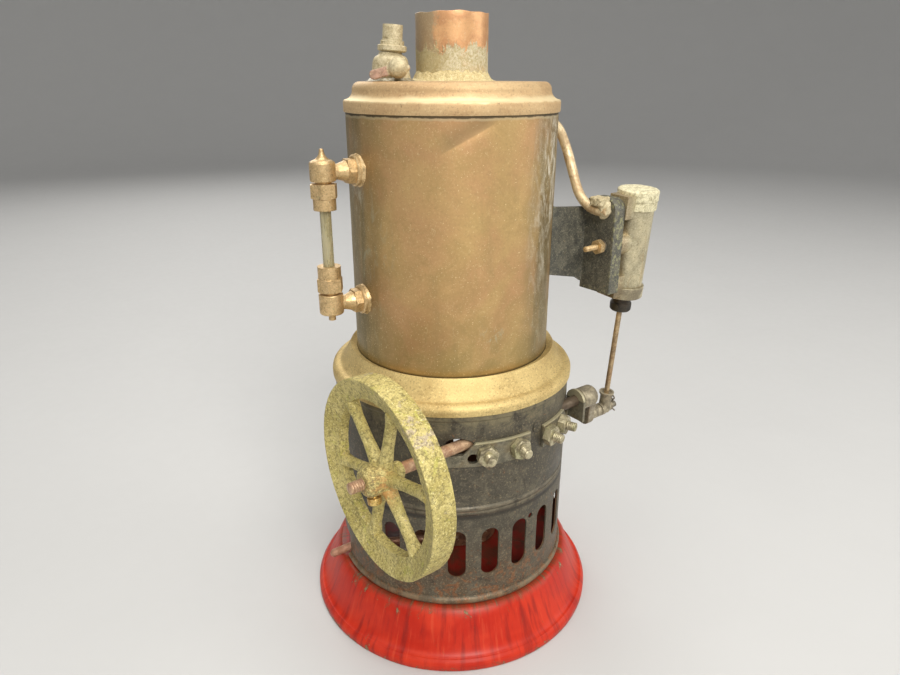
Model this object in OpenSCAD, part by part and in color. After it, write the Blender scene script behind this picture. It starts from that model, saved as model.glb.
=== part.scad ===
// Vertical model steam engine: a spirit-fired firebox carries a brass boiler with a
// centre flue, and an oscillating cylinder beside the boiler turns a crankshaft and flywheel.
// Frame: origin on the floor under the boiler axis, +Z up, +X along the crankshaft
// from the flywheel to the crank. Lengths are in millimetres, angles in degrees.

/* [Base] */
// Radius of the base at the floor
base_r = 66.2; // [66:0.1:67]
// Height of the base's flat top
base_h = 22.9; // [22.8:0.05:22.9]
// Height of the base's upright lip
base_lip_h = 3.8; // [3:0.1:4]
// Radius where the base's slope meets its flat top
base_shoulder_r = 53.6; // [53.2:0.1:54]
// Thickness of the pressed sheet
sheet_t = 0.8; // [0.7:0.05:0.8]

/* [Firebox] */
// Outside radius of the firebox
firebox_r = 51.76; // [51.7:0.02:51.8]
// Height of the firebox's top edge above the floor
firebox_top_z = 112.6; // [112.4:0.1:112.8]
// Number of places for vents round the firebox
vent_places = 23; // [20:1:23]
// Width of a vent
vent_w = 7.5; // [6:0.1:8]
// Height of a vent's middle above the floor
vent_mid_z = 48.6; // [48:0.1:49]
// Height of a vent, end to end
vent_h = 23; // [18:0.5:23]
// Direction in which the burner door faces
door_az = 150; // [150:1:150]
// Width of the burner door
door_w = 32; // [31.6:0.1:33]
// Height of the door's top edge above the floor
door_top_z = 36; // [35.8:0.1:36.2]

/* [Boiler] */
// Outside radius of the boiler barrel
boiler_r = 41.5; // [41.4:0.05:41.6]
// Thickness of the boiler barrel
boiler_t = 0.9; // [0.7:0.05:1]
// Height of the boiler's lower end above the floor
boiler_bottom_z = 106; // [105:0.5:107]
// Height of the boiler cap's top above the floor
cap_top_z = 231.5; // [231.5:0.1:231.5]
// Outside radius of the chimney flue
flue_r = 13.8; // [13.5:0.1:14]
// Wall of the chimney flue
flue_t = 0.7; // [0.6:0.05:0.9]
// Height of the chimney's mouth above the floor
flue_top_z = 255.1; // [250:0.1:260]

/* [Crankshaft] */
// Distance of the crankshaft in front of the boiler axis
shaft_y = -42.5; // [-42.7:0.1:-42.3]
// Height of the crankshaft above the floor
shaft_z = 99.9; // [99.8:0.1:100]
// Radius of the crankshaft
shaft_r = 2.35; // [2.3:0.05:2.4]
// Radius of the flywheel
wheel_r = 37; // [35:0.5:37.5]
// Width of the flywheel's rim
wheel_w = 9.2; // [8:0.1:9.6]
// Position of the flywheel's middle along the crankshaft
wheel_x = -63; // [-63.4:0.1:-62.6]
// Number of flywheel spokes
spokes = 6; // [5:1:7]
// Angle of the first spoke above level
spoke_start = 46; // [45:1:47]
// Throw of the crank, half the piston's stroke
crank_throw = 15.5; // [15:0.1:15.6]
// Angle of the crank past its lowest position
crank_rest = 22; // [15:1:24]

/* [Cylinder] */
// Height of the cylinder's pivot above the floor
pivot_z = 168; // [167.5:0.1:168.5]
// Position of the cylinder's axis along the crankshaft
cyl_x = 64; // [64:0.1:64.4]
// Outside radius of the cylinder barrel
cyl_r = 7.6; // [7.5:0.05:7.7]
// Radius of the cylinder bore
bore_r = 6; // [5.8:0.05:6]
// Radius of the piston rod
rod_r = 1.2; // [1.1:0.05:1.3]
// Length of the piston
piston_h = 8; // [7:0.5:8.5]

/* [Water gauge] */
// Direction of the water gauge
gauge_az = 174.5; // [173:0.5:176]
// Distance of the gauge glass from the boiler axis
gauge_dist = 55.2; // [55:0.1:56]
// Outside radius of the gauge glass
glass_r = 2.1; // [2:0.05:2.1]

/* [Whistle] */
// Distance of the whistle from the boiler axis
whistle_dist = 25.6; // [25.2:0.1:26]
// Direction of the whistle from the boiler axis
whistle_az = 170.8; // [169:0.1:172]
// Direction in which the whistle's valve faces
whistle_face = -37.2; // [-38:0.1:-36]
// Lean of the whistle
whistle_lean = 4; // [0:1:5]

/* [Burner] */
// Width of the burner's tank
tank_w = 29; // [27:0.5:29.4]
// Length of the burner's tank
tank_l = 44; // [40:1:46]
// Radius of the burner's handle
handle_r = 1.9; // [1.7:0.05:2]

/* [Hidden] */
$fn = 72;

// Running clearance of a shaft in its bearing, and gap between pieces that rub
run_c = 0.05;
rub_c = 0.1;
// Reach past a face when a hole is cut
over = 1;

// Sheet-metal levels of the firebox
firebox_in_r = firebox_r - sheet_t;
rim_bulge = 1.3;
rim_h = 3.8;
groove_z = 69.1;
groove_d = 0.55;
groove_h = 2;
shaft_hole_r = 3.4;
spy_hole_az = -87;
spy_hole_z = 59.3;
spy_hole_r = 1.25;

// Bearing strips that are bolted round the firebox
strip_t = 1.2;
strip_in_r = firebox_r + 0.05;
strip_r = strip_in_r + strip_t;
strip_bottom_z = 91.2;
strip_top_z = 101.4;
strip_low_z = 96.3;
bolt_z = 96.4;
bolt_az = [-112.5, -97.3, -79, -67.3];
bolt_r = 2;
spare_hole_az = -118.3;
spare_hole_z = 94.7;
spare_hole_r = 2.2;
left_ear_x = 39.9;
right_ear_x = 36;
ear_r = 5.2;
rivet_az = -85.9;
rivet_z = 101.3;

// Boiler levels
collar_z = firebox_top_z + 0.3;
flue_in_r = flue_r - flue_t;
boiler_in_r = boiler_r - boiler_t;
cap_skirt_z = 220.5;
cap_t = 0.6;

// Flywheel and crank
hub_r = 5.6;
neck_r = 3.4;
hub_front_x = -71.6;
neck_x = -58.6;
hub_back_x = -55.5;
shaft_tip_x = -77.2;
thread_r = 2.2;
rim_in_r = 29;
crank_x = 38.1;
boss_r = 4.8;
boss_l = 9;
web_x = 49;
web_t = 3.6;
web_r = 3.9;
link_gap_x = 60;
link_gap = 0.4;
stub_r = 3;

// Linkage: the cylinder's pivot is straight above the crankshaft
pin_y = shaft_y + crank_throw * sin(crank_rest);
pin_z = shaft_z - crank_throw * cos(crank_rest);
tilt = atan2(pin_y - shaft_y, pivot_z - pin_z);
pin_dist = norm([pin_y - shaft_y, pivot_z - pin_z]);
low_dist = pivot_z - shaft_z + crank_throw;

// Cylinder stations along its own axis, measured up from the pivot
barrel_top = 20.3;
barrel_bottom = -23;
cap_r = 8.5;
top_cap_low = 13.8;
top_cap_high = 22.2;
bottom_cap_high = -19.4;
bottom_cap_low = -24.8;
gland_low = -32;
piston_bottom = barrel_bottom + 2.15 + low_dist - pin_dist;
plate_front_x = 52;
plate_back_x = 46;
pad_x = plate_front_x + rub_c;
pad_w = 9.2;
pivot_r = 1.2;
boss_pad_r = 5.2;
port_r = 0.8;
port_up = 16;
port_down = -17;

// Port plate behind the cylinder
plate_near_y = -47.5;
plate_far_y = -31.5;
plate_bottom_z = 148;
plate_top_z = 187.5;
arm_y = -32;
arm_t = 2;

// Water gauge levels
gauge_high_z = 200.4;
gauge_low_z = 150.2;

// Burner levels
tank_z = base_h + 0.4;
tank_top_z = 31.3;
tube_top_z = 34.8;
handle_y = 12.85;
handle_root_x = tank_l / 2 - 7.5;
handle_z = 28;
handle_bend_x = 47.7;
handle_tip_x = 57.5;
handle_tip_z = 23.8;

// Steam pipe, from inside the boiler wall to the steam block
pipe_r = 2;
pipe_az = -24.5;
pipe_z = 215;
pipe_route = [
    [35, -16, 215], [39, -17.8, 215], [41.5, -19.4, 211.6], [43.6, -21.5, 204.9],
    [43.3, -25, 198.2], [43, -29.8, 189], [43, -34.5, 184.6], [43.2, -39.5, 182.7],
    [43.9, -45, 182.8]
];

// ---------------------------------------------------------------- shared shapes

// A cylinder along +X from x0 to x1
module rod_x(r, x0, x1) translate([x0, 0, 0]) rotate([0, 90, 0]) cylinder(r = r, h = x1 - x0);

// A ring about Z between two radii and two heights
module ring(r_out, r_in, z0, z1) {
    difference() {
        translate([0, 0, z0]) cylinder(r = r_out, h = z1 - z0);
        translate([0, 0, z0 - over]) cylinder(r = r_in, h = z1 - z0 + 2 * over);
    }
}

// A hexagonal prism about Z whose corners are turned down at both ends
module hex_bar(flats, z0, z1) {
    corner_r = flats / sqrt(3);
    turn = corner_r - flats / 2;
    intersection() {
        translate([0, 0, z0]) cylinder(r = corner_r, h = z1 - z0, $fn = 6);
        rotate_extrude() polygon([
            [0, z0], [flats / 2, z0], [corner_r, z0 + turn / 2], [corner_r, z1 - turn / 2],
            [flats / 2, z1], [0, z1]
        ]);
    }
}

// Places children at a direction round the boiler axis, with +X pointing outwards
module at_az(az, dist = 0, z = 0) rotate([0, 0, az]) translate([dist, 0, z]) children();

// Places children on the crankshaft's axis
module at_shaft() translate([0, shaft_y, shaft_z]) children();

// Places children at the cylinder's pivot, turned with the cylinder
module at_pivot() translate([0, shaft_y, pivot_z]) rotate([tilt, 0, 0]) children();

// Places children at the crank pin, turned with the cylinder
module at_pin() translate([0, pin_y, pin_z]) rotate([tilt, 0, 0]) children();

// Points of an S-shaped curve between two points, level at both ends
function s_curve(p, q, n = 12) = [
    for (i = [0 : n]) let (s = i / n)
        [p[0] + (q[0] - p[0]) * s, p[1] + (q[1] - p[1]) * (1 - cos(180 * s)) / 2]
];

// Points of an arc
function arc(c, r, a0, a1, n = 6) = [
    for (i = [0 : n]) let (a = a0 + (a1 - a0) * i / n) [c[0] + r * cos(a), c[1] + r * sin(a)]
];

// Spline point between p1 and p2, and a whole route made of such points
function spline(p0, p1, p2, p3, t) =
    0.5 * (2 * p1 + (p2 - p0) * t + (2 * p0 - 5 * p1 + 4 * p2 - p3) * t * t
        + (3 * p1 - p0 - 3 * p2 + p3) * t * t * t);
function smooth_route(p, steps) = let (n = len(p)) [
    for (i = [0 : n - 2], k = [0 : steps - 1])
        spline(p[max(i - 1, 0)], p[i], p[i + 1], p[min(i + 2, n - 1)], k / steps),
    p[n - 1]
];
function unit(v) = v / norm(v);
function heading(p, i) = unit(p[min(i + 1, len(p) - 1)] - p[max(i - 1, 0)]);

// A round bar swept along a route
module swept_bar(route, r, sides = 12) {
    n = len(route);
    points = [
        for (i = [0 : n - 1])
            let (d = heading(route, i), u = unit(cross(d, [0.9, 0.4, 0.1])), v = cross(d, u))
            for (k = [0 : sides - 1]) let (a = 360 * k / sides)
                route[i] + r * (cos(a) * u + sin(a) * v)
    ];
    walls = [
        for (i = [0 : n - 2], k = [0 : sides - 1]) let (k2 = (k + 1) % sides)
            [i * sides + k, (i + 1) * sides + k, (i + 1) * sides + k2, i * sides + k2]
    ];
    ends = [
        [for (k = [0 : sides - 1]) k],
        [for (k = [sides - 1 : -1 : 0]) (n - 1) * sides + k]
    ];
    polyhedron(points = points, faces = concat(walls, ends), convexity = 4);
}

// ---------------------------------------------------------------- base and firebox

// Outline of the base's skirt from the lip to the flat top, shrunk by a margin
function base_outline(m) = concat(
    [[base_r - m, 0], [base_r - m, base_lip_h - m / 2]],
    s_curve([base_r - 1.6 - m, base_lip_h + 1.6 - m], [base_shoulder_r - m, base_h - m])
);

module base() {
    inside = base_outline(sheet_t);
    color("firebrick") rotate_extrude() polygon(concat(
        base_outline(0), [[0, base_h], [0, base_h - sheet_t]],
        [for (i = [len(inside) - 1 : -1 : 0]) inside[i]]
    ));
}

// Whether a vent at this direction would come above the burner door
function over_door(az) = abs(az - door_az) < 24;

module firebox_shell() {
    rim_mid_z = base_h + rim_h / 2;
    bulge_r = (rim_h * rim_h / 4 + rim_bulge * rim_bulge) / (2 * rim_bulge);
    bulge_a = asin(rim_h / 2 / bulge_r);
    color("dimgray") difference() {
        rotate_extrude() polygon(concat(
            [[firebox_in_r, base_h]],
            arc([firebox_r + rim_bulge - bulge_r, rim_mid_z], bulge_r, -bulge_a, bulge_a, 10),
            [
                [firebox_r, groove_z - groove_h / 2], [firebox_r - groove_d, groove_z],
                [firebox_r, groove_z + groove_h / 2], [firebox_r, firebox_top_z - 2.4],
                [firebox_r + 0.35, firebox_top_z - 1.7], [firebox_r + 0.35, firebox_top_z],
                [firebox_in_r, firebox_top_z], [firebox_in_r, groove_z + groove_h / 2],
                [firebox_in_r - groove_d, groove_z], [firebox_in_r, groove_z - groove_h / 2]
            ]
        ));
        for (k = [0 : vent_places - 1]) {
            az = -93.6 + 360 * k / vent_places;
            if (!over_door(az)) at_az(az, 0, vent_mid_z) vent_cut();
        }
        at_az(door_az) translate([firebox_in_r - 12, -door_w / 2, base_h - over])
            cube([24, door_w, door_top_z - base_h + over]);
        at_az(spy_hole_az, 0, spy_hole_z) rod_x(spy_hole_r, firebox_r - 5, firebox_r + 5);
        at_az(spare_hole_az, 0, spare_hole_z) rod_x(spare_hole_r, firebox_r - 5, firebox_r + 5);
        bolt_holes();
        for (side = [-1, 1]) at_shaft() translate([side * 30, 0, 0])
            rod_x(shaft_hole_r, -8, 8);
    }
}

// One round-ended vent, cut outwards through the firebox wall
module vent_cut() {
    half = (vent_h - vent_w) / 2;
    for (s = [-1, 1]) translate([0, 0, s * half]) rod_x(vent_w / 2, firebox_r - 5, firebox_r + 5);
    translate([firebox_r - 5, -vent_w / 2, -half]) cube([10, vent_w, 2 * half]);
}

module bolt_holes() {
    for (az = bolt_az) at_az(az, 0, bolt_z) rod_x(bolt_r + rub_c, firebox_r - 5, firebox_r + 5);
}

module firebox_rivet() {
    color("dimgray") at_az(rivet_az, firebox_r, rivet_z) rotate([0, 90, 0]) rotate_extrude()
        polygon([[0, 0], [2.2, 0], [2.1, 0.35], [1.5, 0.6], [0.9, 0.45], [0, 0.7]]);
}

// ---------------------------------------------------------------- boiler

module boiler_collar() {
    t = 0.7;
    slope = s_curve([50, 117.4], [boiler_r, 128], 12);
    hollow = [for (i = [0 : 8]) slope[i]];
    brim = arc([49.9, 114.5], 2.9, 0, 90, 7);
    outside = concat([[52.8, collar_z]], brim, hollow);
    color("darkgoldenrod") difference() {
        rotate_extrude() polygon(concat(
            outside, [[boiler_r, 124.2]], [[boiler_r, 122.6]],
            [for (i = [len(hollow) - 1 : -1 : 0]) hollow[i] - [0.3, 1.1]],
            arc([49.9, 114.5], 2.9 - t, 90, 0, 7), [[52.1, collar_z]]
        ));
        translate([0, 0, boiler_bottom_z]) cylinder(r = boiler_r, h = 30);
    }
}

module boiler_barrel() {
    color("darkgoldenrod") difference() {
        ring(boiler_r, boiler_in_r, boiler_bottom_z, 223.6);
        for (z = [gauge_low_z, gauge_high_z]) at_az(gauge_az, 0, z) rod_x(2.4, 35, 46);
        at_az(pipe_az, 0, pipe_z) rod_x(pipe_r + rub_c, 35, 46);
    }
}

module boiler_bottom_plate() {
    color("darkgoldenrod") union() {
        ring(boiler_in_r, flue_r, boiler_bottom_z + 4, boiler_bottom_z + 5);
        ring(boiler_in_r, boiler_in_r - 1, boiler_bottom_z, boiler_bottom_z + 4.5);
    }
}

module boiler_top_cap() {
    top = cap_top_z;
    cove = arc([42.1, 228.4], 3.6, 260, 180, 6);
    crown = arc([35.6, 228.4], 2.9, 0, 84, 6);
    color("goldenrod") rotate_extrude() polygon(concat(
        [[42.1, cap_skirt_z], [42.1, 224.2], [41.9, 224.6]], cove, crown,
        [[flue_r, top], [flue_r, top - cap_t]],
        [for (i = [len(crown) - 1 : -1 : 0]) crown[i] - [0.5, cap_t]],
        [for (i = [len(cove) - 1 : -1 : 1]) cove[i] - [0.7, 0.5]],
        [[boiler_r, 223.7], [boiler_r, cap_skirt_z]]
    ));
}

module chimney_flue() {
    color("peru") ring(flue_r, flue_in_r, boiler_bottom_z, flue_top_z);
}

// ---------------------------------------------------------------- whistle

module at_whistle() {
    translate([whistle_dist * cos(whistle_az), whistle_dist * sin(whistle_az), cap_top_z])
        rotate([0, 0, whistle_face]) children();
}
module leaning() rotate([0, whistle_lean, 0]) children();

// Valve plug beside the whistle's axis, with the lever's ball at its near end
plug_x = 3.6;
plug_z = 4.3;
plug_r = 1.5;
ball_y = -10.2;
ball_r = 3.6;
nut_y = 7.5;
lever_tip = [-5.2, 2];
lever_t = 1.4;
lever_w = 3.2;

module whistle_body() {
    color("darkkhaki") at_whistle() difference() {
        rotate_extrude() polygon([
            [0, 0], [7.6, 0], [7.6, 0.6], [6.9, 3.5], [6.4, 7.2], [5.8, 8.2],
            [4.2, 9.1], [4.1, 9.5], [0, 9.5]
        ]);
        translate([plug_x, 0, plug_z]) rotate([90, 0, 0])
            cylinder(r = plug_r + run_c, h = 20, center = true);
    }
}

module whistle_collar() {
    color("darkkhaki") at_whistle() leaning() rotate_extrude() polygon([
        [0, 9.9], [4.6, 9.9], [5.3, 10.3], [5.3, 11.8], [4.9, 12.1], [0, 12.1]
    ]);
}

module whistle_bell() {
    color("darkkhaki") at_whistle() leaning() difference() {
        union() {
            translate([0, 0, 12.1]) cylinder(r = 4.3, h = 1.5);
            translate([0, 0, 13.6]) cylinder(r = 3.65, h = 5.3);
        }
        translate([0, 0, 13]) cylinder(r = 2.9, h = 5);
        translate([-2.2, -2.2, 14.1]) rotate([0, -35, 45]) translate([-6, -4, 0])
            cube([6, 8, 3]);
    }
}

module whistle_lever() {
    reach = norm([plug_x - lever_tip[0], plug_z - lever_tip[1]]);
    dip = atan2(plug_z - lever_tip[1], plug_x - lever_tip[0]);
    color("rosybrown") at_whistle() translate([plug_x, ball_y, plug_z]) union() {
        rotate([-90, 0, 0]) rotate([0, 0, 90]) {
            sphere(r = ball_r);
            cylinder(r = plug_r, h = nut_y - ball_y + 2);
        }
        rod_x(0.9, 2, 4.1);
        rotate([0, -dip, 0]) rotate([90, 0, 0]) linear_extrude(lever_t, center = true) {
            translate([-reach, -lever_w / 2]) square([reach, lever_w]);
            translate([-reach, 0]) circle(r = lever_w / 2);
        }
    }
}

module whistle_plug_nut() {
    color("darkkhaki") at_whistle() translate([plug_x, nut_y, plug_z]) rotate([-90, 0, 0])
        difference() {
            hex_bar(4.4, 0, 1.6);
            translate([0, 0, -over]) cylinder(r = plug_r, h = 5);
        }
}

// ---------------------------------------------------------------- water gauge

// Arm of a gauge fitting from its upright body in to the boiler wall
module gauge_arm(z) {
    translate([0, 0, z]) difference() {
        union() {
            rotate([0, 90, 0]) rotate_extrude() polygon([
                [0, 39.6], [2.35, 39.6], [2.35, 42], [0, 42]
            ]);
            rotate([0, 90, 0]) rotate_extrude() polygon([
                [0, 41], [5.8, 41], [5.8, 43], [5.2, 43.6], [0, 43.6]
            ]);
            rotate([0, 90, 0]) rotate([0, 0, 30]) hex_bar(8.6, 43.2, 46.4);
            rotate([0, 90, 0]) rotate_extrude() polygon([
                [0, 46.2], [4, 46.2], [3.2, 48.4], [2.8, 50], [2.8, gauge_dist], [0, gauge_dist]
            ]);
        }
        translate([0, 0, -10]) difference() {
            cylinder(r = boiler_r, h = 20);
            translate([0, 0, 10]) rod_x(2.37, 30, 50);
        }
        rod_x(1.2, 38, gauge_dist);
    }
}

module gauge_upper_fitting() {
    color("tan") at_az(gauge_az) difference() {
        union() {
            gauge_arm(gauge_high_z);
            translate([gauge_dist, 0, 0]) rotate_extrude() polygon(concat(
                [[0, 194.2], [3, 194.2], [3, 197.4], [4.55, 197.4], [4.75, 197.7], [4.75, 203.8],
                    [4.4, 204.3]],
                arc([4.4, 208.2], 3.5, 258, 188, 6), [[0.75, 208.7], [0, 208.95]]
            ));
        }
        translate([gauge_dist, 0, 193]) cylinder(r = glass_r + run_c, h = 8);
    }
}

module gauge_lower_fitting() {
    color("tan") at_az(gauge_az) difference() {
        union() {
            gauge_arm(gauge_low_z);
            translate([gauge_dist, 0, 0]) rotate_extrude() polygon([
                [0, 146.7], [4.4, 146.7], [4.7, 147.1], [4.7, 154.4], [4.5, 154.7], [3, 154.7],
                [3, 158], [0, 158]
            ]);
        }
        translate([gauge_dist, 0, 149]) cylinder(r = glass_r + run_c, h = 12);
        translate([gauge_dist, 0, 145]) cylinder(r = 1.1, h = 5);
    }
}

// Packing nut: a hexagon, a round collar beyond it and a counterbore for the neck
module packing_nut(hex_z, seam_z, end_z, collar_r) {
    up = end_z > hex_z ? 1 : -1;
    translate([gauge_dist, 0, hex_z]) mirror([0, 0, up > 0 ? 0 : 1]) difference() {
        union() {
            hex_bar(9, 0, abs(seam_z - hex_z));
            translate([0, 0, abs(seam_z - hex_z)])
                cylinder(r = collar_r, h = abs(end_z - seam_z));
        }
        translate([0, 0, -over]) cylinder(r = 3.05, h = 5.6 + over);
        cylinder(r = glass_r + run_c, h = 20);
    }
}

module gauge_upper_nut() color("tan") at_az(gauge_az) packing_nut(196.6, 191.2, 187, 4.25);
module gauge_lower_nut() color("tan") at_az(gauge_az) packing_nut(155.6, 161, 165.6, 4.45);

module gauge_glass() {
    color("lightgray", 0.5) at_az(gauge_az) translate([gauge_dist, 0, 0])
        ring(glass_r, glass_r - 0.8, 151, 199);
}

module gauge_packing() {
    color("black") at_az(gauge_az) translate([gauge_dist, 0, 0]) {
        ring(2.95, glass_r + 0.02, 191.2, 194);
        ring(2.95, glass_r + 0.02, 158.2, 161);
    }
}

module gauge_drain_screw() {
    color("tan") at_az(gauge_az) translate([gauge_dist, 0, 0]) union() {
        translate([0, 0, 143.9]) cylinder(r = 1.4, h = 2.8);
        translate([0, 0, 146.5]) cylinder(r = 1.05, h = 2);
    }
}

// ---------------------------------------------------------------- steam pipe and bracket

module steam_pipe() {
    color("chocolate") swept_bar(smooth_route(pipe_route, 4), pipe_r);
}

module steam_pipe_flange() {
    color("darkgoldenrod") at_az(pipe_az, 0, pipe_z) difference() {
        rod_x(3.6, 40, 43);
        rod_x(pipe_r + 0.6, 38, 46);
        translate([0, 0, -10]) cylinder(r = boiler_r, h = 20, $fn = 360);
    }
}

module steam_block() {
    front_x = 40.4;
    near_y = -44.6;
    low_z = 185.2;
    block_l = 6.2;
    block_h = 3;
    chamfer = 3;
    color("darkkhaki") difference() {
        translate([front_x, near_y, low_z]) cube([plate_back_x - front_x, block_l, block_h]);
        translate([front_x, near_y, low_z + block_h]) rotate([0, 35, 0])
            cube([chamfer, 3 * block_l, chamfer], center = true);
    }
}

// Outline of the port plate in Y and Z, rounded at its upper corners
module plate_outline() {
    corner = 5;
    width = plate_far_y - plate_near_y;
    translate([plate_near_y, plate_bottom_z]) square([width, plate_top_z - corner - plate_bottom_z]);
    translate([plate_near_y + corner, plate_bottom_z])
        square([width - 2 * corner, plate_top_z - plate_bottom_z]);
    for (y = [plate_near_y + corner, plate_far_y - corner])
        translate([y, plate_top_z - corner]) circle(r = corner);
}

module cylinder_bracket() {
    pad_t = 1;
    color("darkslategray") difference() {
        union() {
            translate([plate_back_x, 0, 0]) rotate([90, 0, 90])
                linear_extrude(plate_front_x - plate_back_x) plate_outline();
            translate([0, arm_y + arm_t, 0]) rotate([90, 0, 0]) linear_extrude(arm_t)
                polygon([[20, 185], [46.5, 182.6], [46.5, 150.5], [43, 152.8], [20, 158]]);
            rotate([0, 0, -48]) translate([0, 0, 158]) rotate_extrude(angle = 22)
                translate([boiler_r, 0]) square([pad_t, 25]);
        }
        translate([0, 0, 140]) cylinder(r = boiler_r, h = 60);
        translate([0, shaft_y, pivot_z]) rod_x(pivot_r + run_c, 40, 60);
        for (a = [-8, 8], d = [port_up, port_down])
            translate([0, shaft_y, pivot_z]) rotate([a, 0, 0]) translate([0, 0, d])
                rod_x(port_r, plate_front_x - 3.5, plate_front_x + over);
    }
}

// ---------------------------------------------------------------- crankshaft bearings

// A strip bolted round the firebox that ends in an ear which carries the shaft.
// side is -1 at the flywheel and 1 at the crank; inner_az is the strip's plain end,
// step_az is where its slanted step comes down to the narrow part, and ear_x is how
// far the ear is from the boiler axis.
module bearing_bracket(side, inner_az, step_az, outer_az, ear_x) {
    difference() {
        union() {
            difference() {
                strip_arc(inner_az, outer_az, strip_in_r, strip_r, strip_bottom_z, strip_top_z);
                strip_arc(step_az, outer_az + side * 20, strip_in_r - over, strip_r + over,
                    strip_low_z, strip_top_z + over);
                at_az(step_az, firebox_r - 5, strip_low_z) mirror([0, side > 0 ? 1 : 0, 0])
                    rotate([45, 0, 0]) cube([10, 20, 20]);
            }
            translate([side > 0 ? ear_x : -ear_x - strip_t, 0, 0]) rotate([90, 0, 90])
                linear_extrude(strip_t) ear_outline(-sqrt(strip_in_r * strip_in_r - ear_x * ear_x));
        }
        bolt_holes();
        at_az(spare_hole_az, 0, spare_hole_z) rod_x(spare_hole_r, firebox_r - 5, firebox_r + 5);
        at_shaft() translate([side * ear_x, 0, 0]) rod_x(shaft_r + run_c, -5, 5);
    }
}

// Part of a ring between two directions, two radii and two heights
module strip_arc(az0, az1, r0, r1, z0, z1) {
    rotate([0, 0, min(az0, az1)]) rotate_extrude(angle = abs(az1 - az0))
        translate([r0, z0]) square([r1 - r0, z1 - z0]);
}

// Outline of an ear in Y and Z, from the shaft's boss back to the strip
module ear_outline(back_y) {
    translate([shaft_y, shaft_z]) circle(r = ear_r);
    translate([shaft_y - ear_r, strip_bottom_z])
        square([2 * ear_r, shaft_z - strip_bottom_z]);
    translate([shaft_y, strip_bottom_z])
        square([back_y - shaft_y, strip_low_z - strip_bottom_z]);
}

module flywheel_bearing_bracket() {
    color("slategray") bearing_bracket(-1, -90.8, -122.8, -141, left_ear_x);
}

module crank_bearing_bracket() {
    color("slategray") bearing_bracket(1, -82.4, -57.8, -45.6, right_ear_x);
}

module bracket_bolts() {
    color("gray") for (az = bolt_az) at_az(az, 0, bolt_z) union() {
        rod_x(bolt_r, 49.6, 59.8);
        rod_x(bolt_r - 0.5, 59.7, 60.3);
        rod_x(2.7, 49.4, 50.7);
    }
}

module bracket_nuts() {
    color("gray") for (az = bolt_az) at_az(az, strip_r, bolt_z) rotate([0, 90, 0]) difference() {
        hex_bar(7.6, 0, 3.2);
        translate([0, 0, -over]) cylinder(r = bolt_r, h = 6);
    }
}

// ---------------------------------------------------------------- crankshaft assembly

module crankshaft() {
    color("saddlebrown") at_shaft() union() {
        rod_x(thread_r, shaft_tip_x, hub_front_x);
        rod_x(shaft_r, hub_front_x, crank_x + boss_l - 1);
    }
}

// One spoke along +Y, thicker at the hub
module spoke() {
    rotate([-90, 0, 0]) translate([0, 0, hub_r - 1.6])
        cylinder(r1 = 2.6, r2 = 2, h = rim_in_r - hub_r + 2.2);
}

module flywheel() {
    half = wheel_w / 2;
    inner_half = 2;
    flare = [for (i = [0 : 6]) let (s = i / 6)
        [rim_in_r + (wheel_r - 1.1 - rim_in_r) * s, inner_half + (half - 0.4 - inner_half) * pow(s, 1.6)]];
    color("olive") at_shaft() rotate([spoke_start, 0, 0]) difference() {
        union() {
            translate([wheel_x, 0, 0]) rotate([0, 90, 0]) rotate_extrude($fn = 120)
                polygon(concat(
                    [for (p = flare) p], [[wheel_r - 0.5, half], [wheel_r, half - 0.6]],
                    [[wheel_r, -half + 0.6], [wheel_r - 0.5, -half]],
                    [for (i = [6 : -1 : 0]) [flare[i][0], -flare[i][1]]]
                ));
            for (k = [0 : spokes - 1]) rotate([360 * k / spokes, 0, 0])
                translate([wheel_x, 0, 0]) spoke();
            translate([hub_front_x, 0, 0]) rotate([0, 90, 0]) rotate_extrude() polygon([
                [0, 0], [hub_r - 1.2, 0], [hub_r, 1.2], [hub_r + 0.3, wheel_x - hub_front_x],
                [hub_r - 0.6, neck_x - hub_front_x - 1], [neck_r, neck_x - hub_front_x],
                [neck_r, hub_back_x - hub_front_x], [0, hub_back_x - hub_front_x]
            ]);
        }
        rod_x(shaft_r, hub_front_x - over, hub_back_x + over);
        rotate([-spoke_start, 0, 0]) at_set_screw() cylinder(r = 1.2, h = 12);
    }
}

// Places children on the set screw's axis, with +Z pointing away from the shaft
module at_set_screw() translate([-68, 0, 0]) rotate([-193, 0, 0]) children();

module flywheel_set_screw() {
    color("goldenrod") at_shaft() at_set_screw() difference() {
        union() {
            translate([0, 0, shaft_r + 0.05]) cylinder(r = 1.2, h = 5);
            translate([0, 0, 6.2]) cylinder(r = 2.6, h = 2.4);
        }
        translate([-3, -0.35, 7.8]) cube([6, 0.7, 2]);
    }
}

module crank() {
    color("rosybrown") at_shaft() rotate([crank_rest, 0, 0]) difference() {
        union() {
            translate([crank_x, 0, 0]) rotate([0, 90, 0]) rotate_extrude() polygon([
                [0, 0], [boss_r - 0.5, 0], [boss_r, 0.6], [boss_r, boss_l - 1.6],
                [boss_r - 0.6, boss_l - 0.5], [boss_r - 1.8, boss_l], [0, boss_l]
            ]);
            rotate([90, 0, 0]) linear_extrude(2 * web_r - 0.6, center = true) polygon([
                [crank_x + 4.5, 0], [crank_x + boss_l, 0], [web_x + web_t, -crank_throw],
                [web_x, -crank_throw]
            ]);
            translate([0, 0, -crank_throw]) {
                rod_x(web_r, web_x, web_x + web_t);
                rod_x(stub_r, web_x, link_gap_x - link_gap / 2);
            }
        }
        rod_x(shaft_r, crank_x - over, crank_x + boss_l - 1);
    }
}

// ---------------------------------------------------------------- cylinder assembly

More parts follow.
